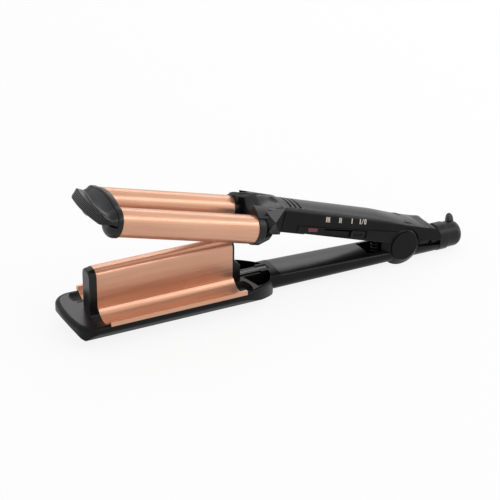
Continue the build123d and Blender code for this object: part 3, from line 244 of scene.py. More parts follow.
def red_plastic(name):
    """Translucent red of the indicator, unlit."""
    material, tree, shader = start_material(name)
    cloud = noise(tree, arm_coordinates(tree, 0.0), 900.0)
    toned = two_tone(tree, cloud, (0.1, 0.012, 0.021), (0.2, 0.03, 0.048))
    tree.links.new(toned, shader.inputs["Base Color"])
    tree.links.new(spread(tree, cloud, 0.2, 0.3), shader.inputs["Roughness"])
    tree.links.new(soft_edges(tree, 0.2), shader.inputs["Normal"])
    shader.inputs["Transmission Weight"].default_value = 0.15
    return material


def solder_mask(name):
    """Green board with a faint weave under the mask."""
    material, tree, shader = start_material(name)
    weave = noise(tree, arm_coordinates(tree, 0.0, (1.0, 1.0, 3.0)), 1800.0)
    toned = two_tone(tree, weave, (0.01, 0.09, 0.03), (0.02, 0.13, 0.05))
    tree.links.new(toned, shader.inputs["Base Color"])
    tree.links.new(spread(tree, weave, 0.3, 0.42), shader.inputs["Roughness"])
    tree.links.new(relief(tree, weave, 0.01), shader.inputs["Normal"])
    return material


def printed(name):
    """Pale gold pad print."""
    material, tree, shader = start_material(name)
    speckle = noise(tree, arm_coordinates(tree, 0.0), 4000.0)
    toned = two_tone(tree, speckle, (0.62, 0.50, 0.38), (0.84, 0.76, 0.66))
    tree.links.new(toned, shader.inputs["Base Color"])
    tree.links.new(spread(tree, speckle, 0.4, 0.55), shader.inputs["Roughness"])
    return material


def grey(first, second):
    """Two neutral tones."""
    return (first, first, first), (second, second, second)


blacks = ((0.0035, 0.0035, 0.0038), (0.0055, 0.0055, 0.0057))
grip_tones = ((0.005, 0.005, 0.0053), (0.008, 0.008, 0.0084))
tab_tones = ((0.03, 0.03, 0.032), (0.042, 0.042, 0.044))
aluminium_tones = ((0.66, 0.67, 0.68), (0.8, 0.81, 0.82))
heater_tones = ((0.55, 0.55, 0.53), (0.75, 0.74, 0.7))
# The spring's steel is made near-black: painted shade of the recess between the arms where it stands.
spring_recess_shade_tones = ((0.03, 0.03, 0.032), (0.05, 0.05, 0.053))
brass_tones = ((0.68, 0.5, 0.22), (0.8, 0.62, 0.3))
# How the tool marks are stretched along X, Y or Z.
turned = (0.1, 1.0, 1.0)
reamed = (1.0, 0.2, 1.0)
pressed = (1.0, 1.0, 0.2)
drawn = (1.0, 1.0, 0.15)
finishes = {
    "rose_gold_upper": coated_metal("rose_gold_upper", arm_tilt),
    "rose_gold_lower": coated_metal("rose_gold_lower", 0.0),
    "casing": moulded("casing", blacks, roughness=0.36, specular=0.14, grain=0.006),
    "cover": moulded("cover", blacks, roughness=0.33, specular=0.32, grain=0.005),
    "crown": moulded("crown", blacks, roughness=0.3, specular=0.24, grain=0.004),
    "heatproof": moulded("heatproof", grey(0.004, 0.007), roughness=0.3, specular=0.3, grain=0.004),
    "grip": moulded("grip", grip_tones, roughness=0.32, specular=0.6, grain=0.004, edge=0.05),
    # Near-black and nearly unreflective: painted shade in the grooves between the finger rest's ribs,
    # and the colour of the switch cover's studs.
    "groove": moulded("groove", grey(0.001, 0.002), 0.6, specular=0.05, grain=0.004, edge=0.05),
    "switch_panel": moulded("switch_panel", blacks, roughness=0.4, specular=0.16, grain=0.006),
    "slider": moulded("slider", blacks, roughness=0.42, specular=0.2, grain=0.006),
    "hinge_disc": moulded("hinge_disc", grey(0.006, 0.008), 0.55, specular=0.12, grain=0.010),
    "swivel": moulded("swivel", blacks, roughness=0.36, specular=0.3, grain=0.006),
    "tab": moulded("tab", tab_tones, roughness=0.45, specular=0.5, grain=0.006),
    "bare_aluminium": worked_metal("bare_aluminium", aluminium_tones, 0.35, turned),
    "heater": worked_metal("heater", heater_tones, roughness=0.45, stretch=pressed),
    "spring": worked_metal("spring", spring_recess_shade_tones, roughness=0.4, stretch=drawn),
    "steel": worked_metal("steel", grey(0.5, 0.62), roughness=0.3, stretch=drawn),
    "bush": worked_metal("bush", brass_tones, roughness=0.35, stretch=reamed),
    "lens": red_plastic("lens"),
    "lamp": red_plastic("lamp"),
    "board": solder_mask("board"),
    "print": printed("print"),
}


def finish_of(node):
    """Name of the finish for a CAD node, from its slot in the record."""
    if slots[node] != "rose_gold":
        return slots[node]
    return "rose_gold_lower" if nodes[node]["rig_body"] == "lower_arm" else "rose_gold_upper"


for name, node in nodes.items():
    node.data.materials.clear()
    node.data.materials.append(finishes[finish_of(name)])

# ---- Making pieces -------------------------------------------------------------------------


def add_object(name, mesh, body, finish):
    """A new piece of the object from a bmesh, riding on a body."""
    data = bpy.data.meshes.new(name)
    mesh.normal_update()
    mesh.to_mesh(data)
    mesh.free()
    made = bpy.data.objects.new(name, data)
    bpy.context.scene.collection.objects.link(made)
    data.materials.append(finishes[finish])
    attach(made, body)
    return made


def placed_verts(mesh, points, axes=upper_arm):
    """New vertices from points in millimetres in the given axes."""
    return [mesh.verts.new(axes @ (Vector(point) * MM)) for point in points]


def skin_rings(mesh, rings, axes=upper_arm):
    """Joins rings of as many points each into a tube, closed at both ends."""
    made = [placed_verts(mesh, ring, axes) for ring in rings]
    for first, second in zip(made, made[1:]):
        for i in range(len(first)):
            j = (i + 1) % len(first)
            mesh.faces.new((first[i], first[j], second[j], second[i]))
    mesh.faces.new(list(reversed(made[0])))
    mesh.faces.new(made[-1])


def face_outwards(mesh):
    """Turns every face of closed shapes to the outside."""
    bmesh.ops.recalc_face_normals(mesh, faces=mesh.faces)


def copy_of(node):
    """Welded copy of a CAD node's mesh."""
    mesh = bmesh.new()
    mesh.from_mesh(nodes[node].data)
    bmesh.ops.remove_doubles(mesh, verts=mesh.verts, dist=0.001 * MM)
    return mesh


def cut_away(piece, mesh):
    """Takes a closed shape out of a piece."""
    face_outwards(mesh)
    data = bpy.data.meshes.new("cutter")
    mesh.to_mesh(data)
    mesh.free()
    cutter = bpy.data.objects.new("cutter", data)
    bpy.context.scene.collection.objects.link(cutter)
    cut = piece.modifiers.new("cut", "BOOLEAN")
    cut.operation = "DIFFERENCE"
    cut.solver = "EXACT"
    cut.object = cutter
    evaluated = piece.evaluated_get(bpy.context.evaluated_depsgraph_get())
    piece.data = bpy.data.meshes.new_from_object(evaluated)
    piece.modifiers.clear()
    bpy.data.objects.remove(cutter)


def smooth(piece, angle):
    """Smooth shading, with edges over the angle in degrees kept sharp."""
    piece.data.shade_smooth()
    piece.data.set_sharp_from_angle(angle=math.radians(angle))


def eased(share):
    """Share from 0 to 1 that starts and ends gently."""
    return share * share * (3 - 2 * share)


def follow(value, stops, ease=lambda share: share):
    """Function through (place, value) stops: straight lines, or eased between them."""
    for (start, first), (end, last) in zip(stops, stops[1:]):
        if value <= end:
            return first + (last - first) * ease(max(0.0, (value - start) / (end - start)))
    return stops[-1][1]


def bend(value, stops):
    """Smooth function through (place, value) stops, level at each."""
    return follow(value, stops, eased)


def evenly(half, steps):
    """Evenly spaced places from -half to half."""
    return [half * i / steps for i in range(-steps, steps + 1)]


def crowded(half, steps):
    """Places from -half to half that crowd towards both ends."""
    return [half * math.sin(math.pi / 2 * i / steps) for i in range(-steps, steps + 1)]


def circle(sides):
    """Angles all the way round."""
    return [math.tau * i / sides for i in range(sides)]


def between(first, second, along, up):
    """Point between two, by one share along X and another in Z."""
    return first[0] + (second[0] - first[0]) * along, first[1] + (second[1] - first[1]) * up


# ---- Printed marks on the upper casing -----------------------------------------------------
panel_y = -14.0  # near face of the upper casing
ink_root = 0.05  # how far the print starts inside it
ink = 0.06  # how far the print stands out
mark_low = 15.9
mark_high = 20.2
stroke = 0.75
serif = 0.4
mark_pitch = 1.35
mark_lean = -0.8  # the print leans back to stand upright beside the slanting arm
numerals = ((3, -77.6), (2, -66.0), (1, -55.0), (1, -47.2))  # bars and middle of each
slash_left = -46.0
slash_width = 0.5
slash_lean = 0.7
nought_middle = -42.4
nought_half = 0.95
nought_side = 0.3  # half the width of its sides
nought_bar = 0.7  # height of its top and bottom
nought_corner = 0.35
side_inset = 0.6


def add_bar(mesh, low, high, lean=mark_lean):
    """A raised bar from low to high, both X and Z, leaning by so much over a mark's height."""
    corners = [
        (x + lean * (z - mark_low) / (mark_high - mark_low), y, z)
        for y in (panel_y + ink_root, panel_y - ink)
        for x, z in ((low[0], low[1]), (high[0], low[1]), (high[0], high[1]), (low[0], high[1]))
    ]
    verts = placed_verts(mesh, corners)
    faces = ((3, 2, 1, 0), (4, 5, 6, 7), (0, 1, 5, 4), (1, 2, 6, 5), (2, 3, 7, 6), (3, 0, 4, 7))
    for face in faces:
        mesh.faces.new([verts[i] for i in face])


def add_numeral(mesh, count, middle):
    """A Roman numeral of upright bars, between two serifs if it has more than one."""
    width = (count - 1) * mark_pitch + stroke
    left = middle - width / 2
    for i in range(count):
        start = left + i * mark_pitch
        add_bar(mesh, (start, mark_low), (start + stroke, mark_high))
    if count > 1:
        add_bar(mesh, (left - serif, mark_low), (left + width + serif, mark_low + serif))
        add_bar(mesh, (left - serif, mark_high - serif), (left + width + serif, mark_high))


def add_nought(mesh, middle):
    """An upright nought of four bars with cut corners."""
    for side in (-1, 1):
        x = middle + side * (nought_half - nought_side)
        low = (x - nought_side, mark_low + side_inset)
        add_bar(mesh, low, (x + nought_side, mark_high - side_inset))
    reach = nought_half - nought_corner
    for z in (mark_low, mark_high - nought_bar):
        add_bar(mesh, (middle - reach, z), (middle + reach, z + nought_bar))


marks = bmesh.new()
for count, middle in numerals:
    add_numeral(marks, count, middle)
add_bar(marks, (slash_left, mark_low), (slash_left + slash_width, mark_high), slash_lean)
add_nought(marks, nought_middle)
add_object("heat_marks", marks, "upper_arm", "print")

# ---- Tip guard: flange across both barrels -------------------------------------------------
barrel_y = 20.4
barrel_z = 9.0
collar_radius = 11.8
collar_start = 84.0  # degrees, where the flange's outline leaves its oval
collar_step = 7.2
collar_points = 34
oval_points = 16
notch_points = 9
flange_half = 31.7
flange_height = 15.3
flange_front = -267.4
flange_rear = -263.3
notch_half = 9.2  # the rib passes here
notch_top = 21.0
notch_round = 6.0
flange_sections = (  # X and inset
    (flange_front, 0.6),
    (flange_front + 0.15, 0.25),
    (flange_front + 0.6, 0.0),
    (flange_rear - 0.2, 0.0),
    (flange_rear, 0.2),
)


def brow(y):
    """Height of the flange's outline at y: the oval, or a barrel's collar where that is higher."""
    oval = flange_height * math.sqrt(max(0.0, 1 - (y / flange_half) ** 2))
    collar = math.sqrt(max(0.0, collar_radius**2 - (abs(y) - barrel_y) ** 2))
    return barrel_z + max(oval, collar if abs(y) > barrel_y else 0.0)


def flange_outline(inset):
    """Half of the flange's outline, from its top round the far barrel to the notch's top."""
    points = [(0.0, brow(0) - inset)]
    for i in range(1, oval_points):
        y = barrel_y * i / oval_points
        slope = flange_height / flange_half * y / math.sqrt(flange_half**2 - y**2)
        length = math.hypot(1.0, slope)
        points.append((y - inset * slope / length, brow(y) - inset / length))
    for i in range(collar_points):
        angle = math.radians(collar_start - i * collar_step)
        y = barrel_y + (collar_radius - inset) * math.cos(angle)
        z = barrel_z + (collar_radius - inset) * math.sin(angle)
        points.append((max(y, notch_half + inset) if z < barrel_z else y, z))
    for i in range(notch_points):
        angle = math.pi / 2 * i / (notch_points - 1)
        y = notch_half - notch_round * (1 - math.cos(angle)) + inset * math.cos(angle)
        z = notch_top - notch_round * (1 - math.sin(angle)) + inset * math.sin(angle)
        points.append((y, z))
    points.append((0.0, notch_top + inset))
    return points


def flange_ring(x, inset):
    """The whole outline at x."""
    half = flange_outline(inset)
    far = [(x, y, z) for y, z in half]
    near = [(x, -y, z) for y, z in reversed(half[1:-1])]
    return far + near


# ---- Tip guard: the scoop ahead of the flange ----------------------------------------------
leaf_half = 31.9
leaf_corner = 27.2  # the bowed front turns back from here
leaf_nose = -281.8
leaf_bow = 2.7  # how far the front draws back to the corners
leaf_turn = 11.7  # how far the turned ends reach ahead of the flange
leaf_low = 8.4
leaf_lift = ((25, 0.0), (leaf_half, 2.2))  # how far the lower edge rises towards the ends
leaf_steps = 30  # sections to each side
leaf_root = flange_front + 0.1  # the scoop ends inside the flange
lip_reach = 14.0
lip_heights = ((8, 16.9), (25, 16.4), (leaf_half, 14.0))
lip_under_brow = 0.9
set_back = 2.4  # how far the lip draws back towards the far end
set_back_from = -16.0
set_back_span = 44.0
rim_under_brow = 1.7
rim_overhang = 0.9
rim_overhang_depth = 10.0  # where the scoop is less deep than this, the rim hangs over by less
rim_wall = 0.4
rim_lift = 0.1
floor_wall = 0.6
front_wall = 1.0
foot_wall = 0.5
root_under_brow = 1.2
hollow_depths = ((0, 2.6), (26, 1.1), (leaf_half, 0.1))
hollow_middle = 0.24  # deepest place, as a share of the scoop's length
least_fall = 0.1
hollow_rise = 1.6  # power of the curve up to the rim
fall_steps = 7
rise_steps = 9
land_shares = ((-26, 0.10), (24, 0.34))  # level land behind the lip, to the scoop's length
land_slope = 0.2
lip_round = 0.3
lip_edge = 0.4
lip_bevel = 0.1
rib_room = ((9.0, 1.0), (9.8, 0.0))  # over the rib the underside is raised
rib_room_sides = (8.9, 9.2, 9.6, 9.9)
roof_front_height = 14.0
roof_rear_height = 20.6
roof_front_x = flange_front - 5.2
skirt_x = flange_front - 5.6


def leaf_front(y):
    """Foot of the scoop's bowed front."""
    side = abs(y)
    if side <= leaf_corner:
        return leaf_nose + leaf_bow * (side / leaf_corner) ** 2
    turned = (side - leaf_corner) / (leaf_half - leaf_corner)
    return flange_front - leaf_turn * math.sqrt(max(0.0, 1 - turned**2))


def leaf_foot(y):
    """Height of the scoop's lower edge."""
    return leaf_low + bend(abs(y), leaf_lift)


def leaf_lip(y):
    """Upper edge of the front: X and Z."""
    draw_in = (leaf_front(y) - flange_front) / (leaf_front(0) - flange_front)
    back = set_back * (max(0.0, y - set_back_from) / set_back_span) ** 2
    x = flange_front - (lip_reach - back) * draw_in
    return x, min(bend(abs(y), lip_heights), brow(y) - lip_under_brow)


def leaf_hollow(y, floor_z):
    """Upper side of the scoop at y, from the lip down into the hollow and up to the rim."""
    lip_x, lip_z = leaf_lip(y)
    depth = flange_front - lip_x
    land = bend(y, land_shares) * depth
    edge = (lip_x + land, lip_z - land_slope * land)
    deepest = (edge[0] + hollow_middle * depth, min(floor_z, edge[1] - least_fall))
    overhang = rim_overhang * min(1.0, depth / rim_overhang_depth)
    rim = (flange_front - overhang, brow(y) - rim_under_brow)
    points = [between((lip_x + lip_round, lip_z), edge, share, share) for share in (0.0, 0.5, 1.0)]
    for i in range(1, fall_steps + 1):
        share = i / fall_steps
        points.append(between(edge, deepest, share, eased(share)))
    for i in range(1, rise_steps + 1):
        share = i / rise_steps
        points.append(between(deepest, rim, share, share**hollow_rise))
    return points


def leaf_ring(y):
    """Section of the scoop at y: front, lip, hollow, rim and underside."""
    foot = leaf_front(y)
    lip_x, lip_z = leaf_lip(y)
    low = leaf_foot(y)
    rim_z = brow(y) - rim_under_brow
    floor_z = min(lip_z, rim_z) - bend(abs(y), hollow_depths)
    over_rib = bend(abs(y), rib_room)
    roof_front = low + (roof_front_height - low) * over_rib
    roof_rear = low + (roof_rear_height - low) * over_rib
    profile = [
        (foot, low),
        (lip_x, lip_z - lip_edge),
        (lip_x + lip_bevel, lip_z - lip_bevel),
        *leaf_hollow(y, floor_z),
        (leaf_root, min(rim_z + rim_lift, brow(y) - root_under_brow)),
        (leaf_root, min(roof_rear, rim_z - rim_wall)),
        (max(roof_front_x, foot + front_wall), min(roof_front, floor_z - floor_wall)),
        (max(skirt_x, foot + foot_wall), low),
    ]
    return [(x, y, z) for x, z in profile]


leaf_stations = crowded(leaf_half, leaf_steps)
leaf_stations += [side * y for side in (-1, 1) for y in rib_room_sides]
guard = bmesh.new()
skin_rings(guard, [flange_ring(x, inset) for x, inset in flange_sections])
skin_rings(guard, [leaf_ring(y) for y in sorted(leaf_stations)])
tip = add_object("tip_scoop", guard, "upper_arm", "heatproof")
smooth(tip, 32)
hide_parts("tip_guard")

# ---- Ribbed finger rest on the scoop's front -----------------------------------------------
rib_count = 6
rib_proud = 1.0
rib_profile = ((0.0, 0.0), (0.12, 0.7), (0.5, 1.0), (0.88, 0.7))  # shares of pitch and height
# The rib faces down in the grooves take a near-black finish: painted shade.
groove_shade_sides = (0, len(rib_profile) - 1)  # faces of a rib that lie in the groove
grip_half = 26.4
grip_steps = 32
grip_ends = ((grip_half - 0.9, 1.0), (grip_half, 0.35))  # the ribs fade out
grip_below_lip = 0.35
grip_edge = 0.05
grip_backs = (0.5, 0.3)  # how far the top and the foot lie inside the scoop


def grip_ring(y):
    """Section of the finger rest at y: ribs outside, level inside."""
    foot = Vector((leaf_front(y), 0.0, leaf_foot(y)))
    lip_x, lip_z = leaf_lip(y)
    top = Vector((lip_x, 0.0, lip_z - grip_below_lip))
    along = top - foot
    out = Vector((-along.z, 0.0, along.x)).normalized()
    proud = rib_proud * bend(abs(y), grip_ends)
    outer = [
        foot + along * ((i + place) / rib_count) + out * proud * height
        for i in range(rib_count)
        for place, height in rib_profile
    ]
    inner = [top + out * grip_edge, top - out * grip_backs[0], foot - out * grip_backs[1]]
    return [(point.x, y, point.z) for point in outer + inner]


grip = bmesh.new()
skin_rings(grip, [grip_ring(y) for y in crowded(grip_half, grip_steps)])
# Faces in the grooves get the second finish, whose near-black paints the shade between the ribs.
grip.faces.ensure_lookup_table()
rib_faces = rib_count * len(rib_profile)
ring_faces = rib_faces + 3
for i, face in enumerate(grip.faces[: 2 * grip_steps * ring_faces]):
    across = i % ring_faces
    if across < rib_faces and across % len(rib_profile) in groove_shade_sides:
        face.material_index = 1
rest = add_object("tip_ribs", grip, "upper_arm", "grip")
rest.data.materials.append(finishes["groove"])
smooth(rest, 50)
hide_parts("tip_grip")

# ---- Barrel holder, with a scoop between its two cups --------------------------------------
scoop_front = -141.8
scoop_middle = -132.0
scoop_rear = -122.0
scoop_low = 17.4
scoop_middle_height = 22.6
scoop_half = 13.5
scoop_side_power = 2.4
scoop_steps = 8  # to each side
scoop_under_arch = 0.3
scoop_roof = 34.0  # clear over the holder
scoop_stations = (-150.0, -146.0, scoop_front, -137.0, scoop_middle, -126.0, scoop_rear)
cups_front = -148.0
arch_half = 32.2
arch_height = 18.6
arch_thickness = 3.0


def arch_top(y, inset=0.0):
    """Height of the arch over both cups, or of its underside."""
    share = max(0.0, 1 - (y / (arch_half - inset)) ** 2)
    return barrel_z + (arch_height - inset) * math.sqrt(share)


scoop_rise = (
    (scoop_front, scoop_low),
    (scoop_middle, scoop_middle_height),
    (scoop_rear, arch_top(0) - scoop_under_arch),
)


def scoop_height(x, y):
    """Height of the scoop's floor: it rises to the neck, and to the arch on both sides."""
    rise = follow(x, scoop_rise)
    side = min(1.0, abs(y) / scoop_half) ** scoop_side_power
    return rise + (arch_top(y) - scoop_under_arch - rise) * side


def scoop_section(x):
    """Section at x of what is cut away over the scoop's floor."""
    across = evenly(scoop_half, scoop_steps)
    floor_line = [(x, y, scoop_height(x, y)) for y in across]
    roof_line = [(x, y, scoop_roof) for y in reversed(across)]
    return floor_line + roof_line


scoop = bmesh.new()
skin_rings(scoop, [scoop_section(x) for x in scoop_stations])
holder = add_object("holder_cups", copy_of("barrel_holder"), "upper_arm", "cover")
cut_away(holder, scoop)
smooth(holder, 24)
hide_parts("barrel_holder")

# ---- Saddle that lines the scoop, and webs beside it ---------------------------------------
saddle_low = 7.5
saddle_half = scoop_half + 0.6
saddle_wall = 2.4
saddle_rear_wall = 2.6
saddle_back = -139.4
saddle_lip = scoop_front + 1.2  # the floor starts here, behind the rounded front edge
saddle_edge = ((0.0, 1.2), (0.35, 0.35))  # X behind the front, and depth under the lip
saddle_gap = 0.02  # the floor lies just under the cut
saddle_steps = 12
web_front = cups_front + 0.6
web_rear = -140.5
web_start = 11.2
web_width = 9.4
web_steps = 9
web_overlap = 0.5
web_under_scoop = 0.1


def saddle_ring(y):
    """Section of the saddle at y: front, floor of the scoop, underside and back of the front."""
    lip = scoop_height(scoop_front, y)
    line = [saddle_lip + (scoop_rear - saddle_lip) * i / saddle_steps for i in range(saddle_steps + 1)]
    profile = [
        (scoop_front, saddle_low),
        *[(scoop_front + behind, lip - under) for behind, under in saddle_edge],
        *[(x, scoop_height(x, y) - saddle_gap) for x in line],
        (scoop_rear, arch_top(y) - saddle_rear_wall),
        (scoop_middle, scoop_height(scoop_middle, y) - saddle_wall),
        (saddle_back, lip - saddle_wall),
        (saddle_back, saddle_low),
    ]
    return [(x, y, z) for x, z in profile]


def web_ring(y, side):
    """Section of a web at y: from the barrel's cup up to the arch's underside."""
    cup_top = barrel_z + math.sqrt(collar_radius**2 - (y - barrel_y) ** 2)
    low = cup_top - web_overlap
    under_arch = arch_top(y, arch_thickness) + web_overlap
    high = min(under_arch, scoop_height(cups_front, y) - web_under_scoop)
    corners = ((web_front, low), (web_front, high), (web_rear, high), (web_rear, low))
    return [(x, side * y, z) for x, z in corners]


lining = bmesh.new()
skin_rings(lining, [saddle_ring(y) for y in evenly(saddle_half, saddle_steps)])
web_sides = [web_start + web_width * i / web_steps for i in range(web_steps + 1)]
for side in (-1, 1):
    skin_rings(lining, [web_ring(y, side) for y in web_sides])
face_outwards(lining)
saddle = add_object("holder_saddle", lining, "upper_arm", "cover")
smooth(saddle, 32)

# ---- Four-sided facets on the neck's flanks ------------------------------------------------
facet_foot = Vector((-141.0, -23.0, 0.0))
facet_heel = Vector((-119.0, -14.0, 0.0))
facet_line = facet_heel - facet_foot
facet_out = Vector((facet_line.y, -facet_line.x, 0.0)).normalized()
facet_corners = ((0.0, 24.4), (1.0, 25.6), (1.0, 3.6), (0.29, 5.2))  # share of the line, height
facet_apex = (0.33, 17.0)
facet_proud = 5.2
facet_rim = 0.05
facet_root = -0.6


def flank(side, place, height, proud):
    """A point over one flank, at a share of its length."""
    point = facet_foot + facet_line * place + facet_out * proud
    return point.x, side * point.y, height


facets = bmesh.new()
for side in (1, -1):
    rim_points = [flank(side, *corner, facet_rim) for corner in facet_corners]
    root_points = [flank(side, *corner, facet_root) for corner in facet_corners]
    corners = placed_verts(facets, rim_points)
    backs = placed_verts(facets, root_points)
    apex = placed_verts(facets, [flank(side, *facet_apex, facet_proud)])[0]
    facets.faces.new(backs)
    for i in range(4):
        j = (i + 1) % 4
        facets.faces.new((corners[i], corners[j], apex))
        facets.faces.new((corners[j], corners[i], backs[i], backs[j]))
face_outwards(facets)
add_object("neck_facets", facets, "upper_arm", "cover")

# ---- Top cover, with its rear end rounded down ---------------------------------------------
crown_sag = 3.4
crown_sag_stops = ((-30.0, 0.0), (9.0, 0.8), (16.5, 1.0), (24.0, 0.3))
crown_taper = 0.26  # how far its sides draw in, as a share
crown_taper_stops = ((-20.0, 0.0), (4.0, 0.3), (18.0, 1.0), (30.0, 1.0))
crown_cuts = (-30, -22, -14, -7, -2, 2, 5, 8, 10.5, 12.5, 14.5, 16.5, 18.5, 20.5, 22.5, 24.5)
crown_height = 4.2  # above the seam with the casing
seam_height = 22.9
seam_front = -118.0
seam_slope = 0.0521

crown = copy_of("upper_top_cover")
arm_along = (upper_arm.to_3x3() @ Vector((1.0, 0.0, 0.0))).normalized()
for x in crown_cuts:
    bmesh.ops.bisect_plane(
        crown,
        geom=crown.verts[:] + crown.edges[:] + crown.faces[:],
        plane_co=upper_arm @ (Vector((x, 0.0, 0.0)) * MM),
        plane_no=arm_along,
    )
to_arm = upper_arm.inverted()
for vert in crown.verts:
    place = to_arm @ vert.co / MM
    seam = seam_height - seam_slope * (place.x - seam_front)
    share = min(1.0, (place.z - seam) / crown_height)
    if place.x > crown_sag_stops[0][0] and share > 0:
        place.z -= crown_sag * share * bend(place.x, crown_sag_stops)
        place.y *= 1 - crown_taper * share * bend(place.x, crown_taper_stops)
        vert.co = upper_arm @ (place * MM)
top_cover = add_object("top_cover_skin", crown, "upper_arm", "crown")
smooth(top_cover, 24)
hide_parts("upper_top_cover")

# ---- Slider, with its finger notch open ----------------------------------------------------
# In the solid the notch is a closed hollow just under the near face. That hollow is taken out,
# its near side is drawn past the face, and it is cut away again.
slider_low, slider_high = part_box("heat_slider")
notch_inside = (slider_low + slider_high) / 2
notch_inside.y = slider_low.y + 0.6 * MM
notch_side = slider_low.y + 0.2 * MM  # the hollow's near side lies further out than this
notch_mouth = slider_low.y - 0.8 * MM


def shell_round(mesh, point):
    """The vertices of the closed surface that comes nearest to a point."""
    reached = min(mesh.verts, key=lambda vert: (vert.co - point).length)
    shell = {reached}
    ahead = [reached]
    while ahead:
        reached = ahead.pop()
        near = {edge.other_vert(reached) for edge in reached.link_edges} - shell
        shell |= near
        ahead += near
    return shell


slider = copy_of("heat_slider")
hollow = shell_round(slider, notch_inside)
notch = slider.copy()
hollow_indices = {vert.index for vert in hollow}
rest_of_slider = [vert for vert in notch.verts if vert.index not in hollow_indices]
bmesh.ops.delete(slider, geom=list(hollow), context="VERTS")
bmesh.ops.delete(notch, geom=rest_of_slider, context="VERTS")
for vert in notch.verts:
    if vert.co.y < notch_side:
        vert.co.y = notch_mouth
notched = add_object("notched_slider", slider, "slider", "slider")
cut_away(notched, notch)
smooth(notched, 24)
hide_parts("heat_slider")

# ---- Hang tab: a tapered tongue with a rounded top -----------------------------------------
tab_low, tab_high = (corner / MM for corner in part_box("hang_tab"))
tab_middle = (tab_low + tab_high) / 2
tab_sides = 24
tab_roundness = 0.7  # power of cosine and sine: 1 would be an oval
tab_lean = 0.5
tab_sections = (  # share of the height, half length and half width
    (0.0, 3.2, 3.9),
    (0.35, 3.0, 3.5),
    (0.62, 2.75, 3.0),
    (0.8, 2.35, 2.6),
    (0.92, 1.7, 1.9),
    (1.0, 0.7, 0.9),
)


def tab_ring(share, half_length, half_width):
    """Section of the tab at a share of its height."""
    height = tab_low.z + (tab_high.z - tab_low.z) * share
    ring = []
    for angle in circle(tab_sides):
        x, y = (math.copysign(abs(v) ** tab_roundness, v) for v in (math.cos(angle), math.sin(angle)))
        x = tab_middle.x + x * half_length - tab_lean * share
        ring.append((x, tab_middle.y + y * half_width, height))
    return ring


tongue = bmesh.new()
skin_rings(tongue, [tab_ring(*section) for section in tab_sections], frame_axes)
tab = add_object("tab_tongue", tongue, "swivel", "tab")
rounding = tab.modifiers.new("rounding", "SUBSURF")
rounding.levels = 2
rounding.render_levels = 2
smooth(tab, 60)
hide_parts("hang_tab")

# ---- Return spring: a coil that stands on the lower arm ------------------------------------
spring_low, spring_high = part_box("return_spring")
spring_middle = (spring_low + spring_high) / 2 / MM
spring_wire = 0.6
spring_turns = 6
spring_steps = 28  # sections to the turn
wire_sides = 10
coil_radius = (spring_high.x - spring_low.x) / MM / 2 - spring_wire
coil_low = spring_low.z / MM + spring_wire
coil_rise = (spring_high.z - spring_low.z) / MM - 2 * spring_wire
upwards = Vector((0.0, 0.0, 1.0))


def wire_ring(turn):
    """Ring round the spring's wire after so many turns."""
    outward = Vector((math.cos(math.tau * turn), math.sin(math.tau * turn), 0.0))
    height = coil_low + coil_rise * turn / spring_turns
    centre = Vector((spring_middle.x, spring_middle.y, height)) + outward * coil_radius
    spokes = [outward * math.cos(angle) + upwards * math.sin(angle) for angle in circle(wire_sides)]
    return [centre + spoke * spring_wire for spoke in spokes]


winding = bmesh.new()
turns = [i / spring_steps for i in range(spring_turns * spring_steps + 1)]
skin_rings(winding, [wire_ring(turn) for turn in turns], frame_axes)
face_outwards(winding)
coil = add_object("spring_coil", winding, "lower_arm", "spring")
smooth(coil, 60)
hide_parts("return_spring")
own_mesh(coil)

# ---- Small studs on the switch cover -------------------------------------------------------
cover_y = -14.6  # near face of the switch cover
track_depth = 0.9
stud_sides = 16
stud_root = 0.1
stud_profile = ((1.0, 0.0), (1.0, 0.7), (0.82, 1.0), (0.45, 0.75))  # shares of radius and height


def add_stud(mesh, x, y, z, radius, proud):
    """A low round stud with a dished top."""
    rings = []
    for wide, high in stud_profile:
        reach = radius * wide
        face = y + stud_root - (proud + stud_root) * high
        ring = [(x + reach * math.cos(a), face, z + reach * math.sin(a)) for a in circle(stud_sides)]
        rings.append(ring)
    skin_rings(mesh, rings)


studs = bmesh.new()
add_stud(studs, -61.0, cover_y + track_depth, 6.4, radius=0.5, proud=0.12)
add_stud(studs, -97.5, cover_y, 8.9, radius=0.45, proud=0.1)
add_object("cover_studs", studs, "upper_arm", "groove")

# ---- Stage ---------------------------------------------------------------------------------
floor_half = 8.0
white = (1.0, 1.0, 1.0, 1.0)
paper_white = (0.93, 0.93, 0.93, 1.0)
paper_glow = 0.87  # share of plain white in what the camera and mirrors see of the floor
ambient_strength = 0.75
stage_middle = (cad_low + cad_high) / 2
lamp_distance = 1.6


def background_rays(tree):
    """1 for the rays that should see the plain white background itself."""
    path = tree.nodes.new("ShaderNodeLightPath")
    direct = combine(tree, "MAXIMUM", path.outputs["Is Camera Ray"], path.outputs["Is Glossy Ray"])
    return combine(tree, "MAXIMUM", direct, path.outputs["Is Transmission Ray"])


def paper():
    """White paper that looks nearly plain white and keeps the object's shadow."""
    material, tree, _ = start_material("paper")
    tree.nodes.clear()
    lit = add_node(tree, "ShaderNodeBsdfDiffuse", Color=paper_white)
    plain = add_node(tree, "ShaderNodeEmission", Color=white, Strength=1.0)
    share = combine(tree, "MULTIPLY", background_rays(tree), paper_glow)
    surface = mixed_shader(tree, share, lit.outputs[0], plain.outputs[0])
    add_node(tree, "ShaderNodeOutputMaterial", Surface=surface)
    return material


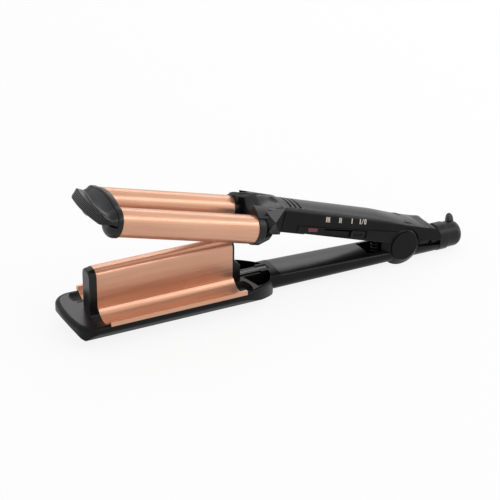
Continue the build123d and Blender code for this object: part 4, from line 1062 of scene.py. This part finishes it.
def studio():
    """World that lights softly and shows plain white."""
    world = bpy.data.worlds.new("studio")
    world.use_nodes = True
    tree = world.node_tree
    tree.nodes.clear()
    ambient = add_node(tree, "ShaderNodeBackground", Color=white, Strength=ambient_strength)
    backdrop = add_node(tree, "ShaderNodeBackground", Color=white, Strength=1.0)
    surface = mixed_shader(tree, background_rays(tree), ambient.outputs[0], backdrop.outputs[0])
    add_node(tree, "ShaderNodeOutputWorld", Surface=surface)
    return world


def softbox(name, towards, length, width, radiance):
    """A soft lamp that lies along X and faces the object."""
    data = bpy.data.lights.new(name, "AREA")
    data.shape = "RECTANGLE"
    data.size = length
    data.size_y = width
    data.energy = radiance * math.pi * length * width
    lamp = bpy.data.objects.new(name, data)
    bpy.context.scene.collection.objects.link(lamp)
    away = Vector(towards).normalized()
    direction = (-away).to_track_quat("-Z", "Y").to_matrix().to_4x4()
    lamp.matrix_world = Matrix.Translation(stage_middle + away * lamp_distance) @ direction


bpy.ops.mesh.primitive_plane_add(size=2 * floor_half)
floor = bpy.context.object
floor.name = "floor"
floor.data.materials.append(paper())
bpy.context.scene.world = studio()
softbox("front_strip", (0.55, -0.50, 0.66), length=2.0, width=0.16, radiance=5.6)
softbox("rear_strip", (0.62, 0.60, 0.50), length=2.0, width=0.14, radiance=4.7)
softbox("end_box", (0.97, -0.20, 0.18), length=0.4, width=0.4, radiance=4.0)

# ---- Camera --------------------------------------------------------------------------------
camera_place = Vector((-0.5236, -1.1384, 0.6737))
camera_azimuth = math.radians(-27.664)
camera_elevation = math.radians(26.347)
camera_roll = math.radians(0.472)
camera_field = math.radians(15.405)

lens = bpy.data.cameras.new("camera")
lens.sensor_fit = "AUTO"
lens.angle = camera_field
camera = bpy.data.objects.new("camera", lens)
bpy.context.scene.collection.objects.link(camera)
camera.matrix_world = (
    Matrix.Translation(camera_place)
    @ Matrix.Rotation(camera_azimuth, 4, "Z")
    @ Matrix.Rotation(math.pi / 2 - camera_elevation, 4, "X")
    @ Matrix.Rotation(camera_roll, 4, "Z")
)
bpy.context.scene.camera = camera

bpy.context.scene.view_settings.view_transform = "Standard"
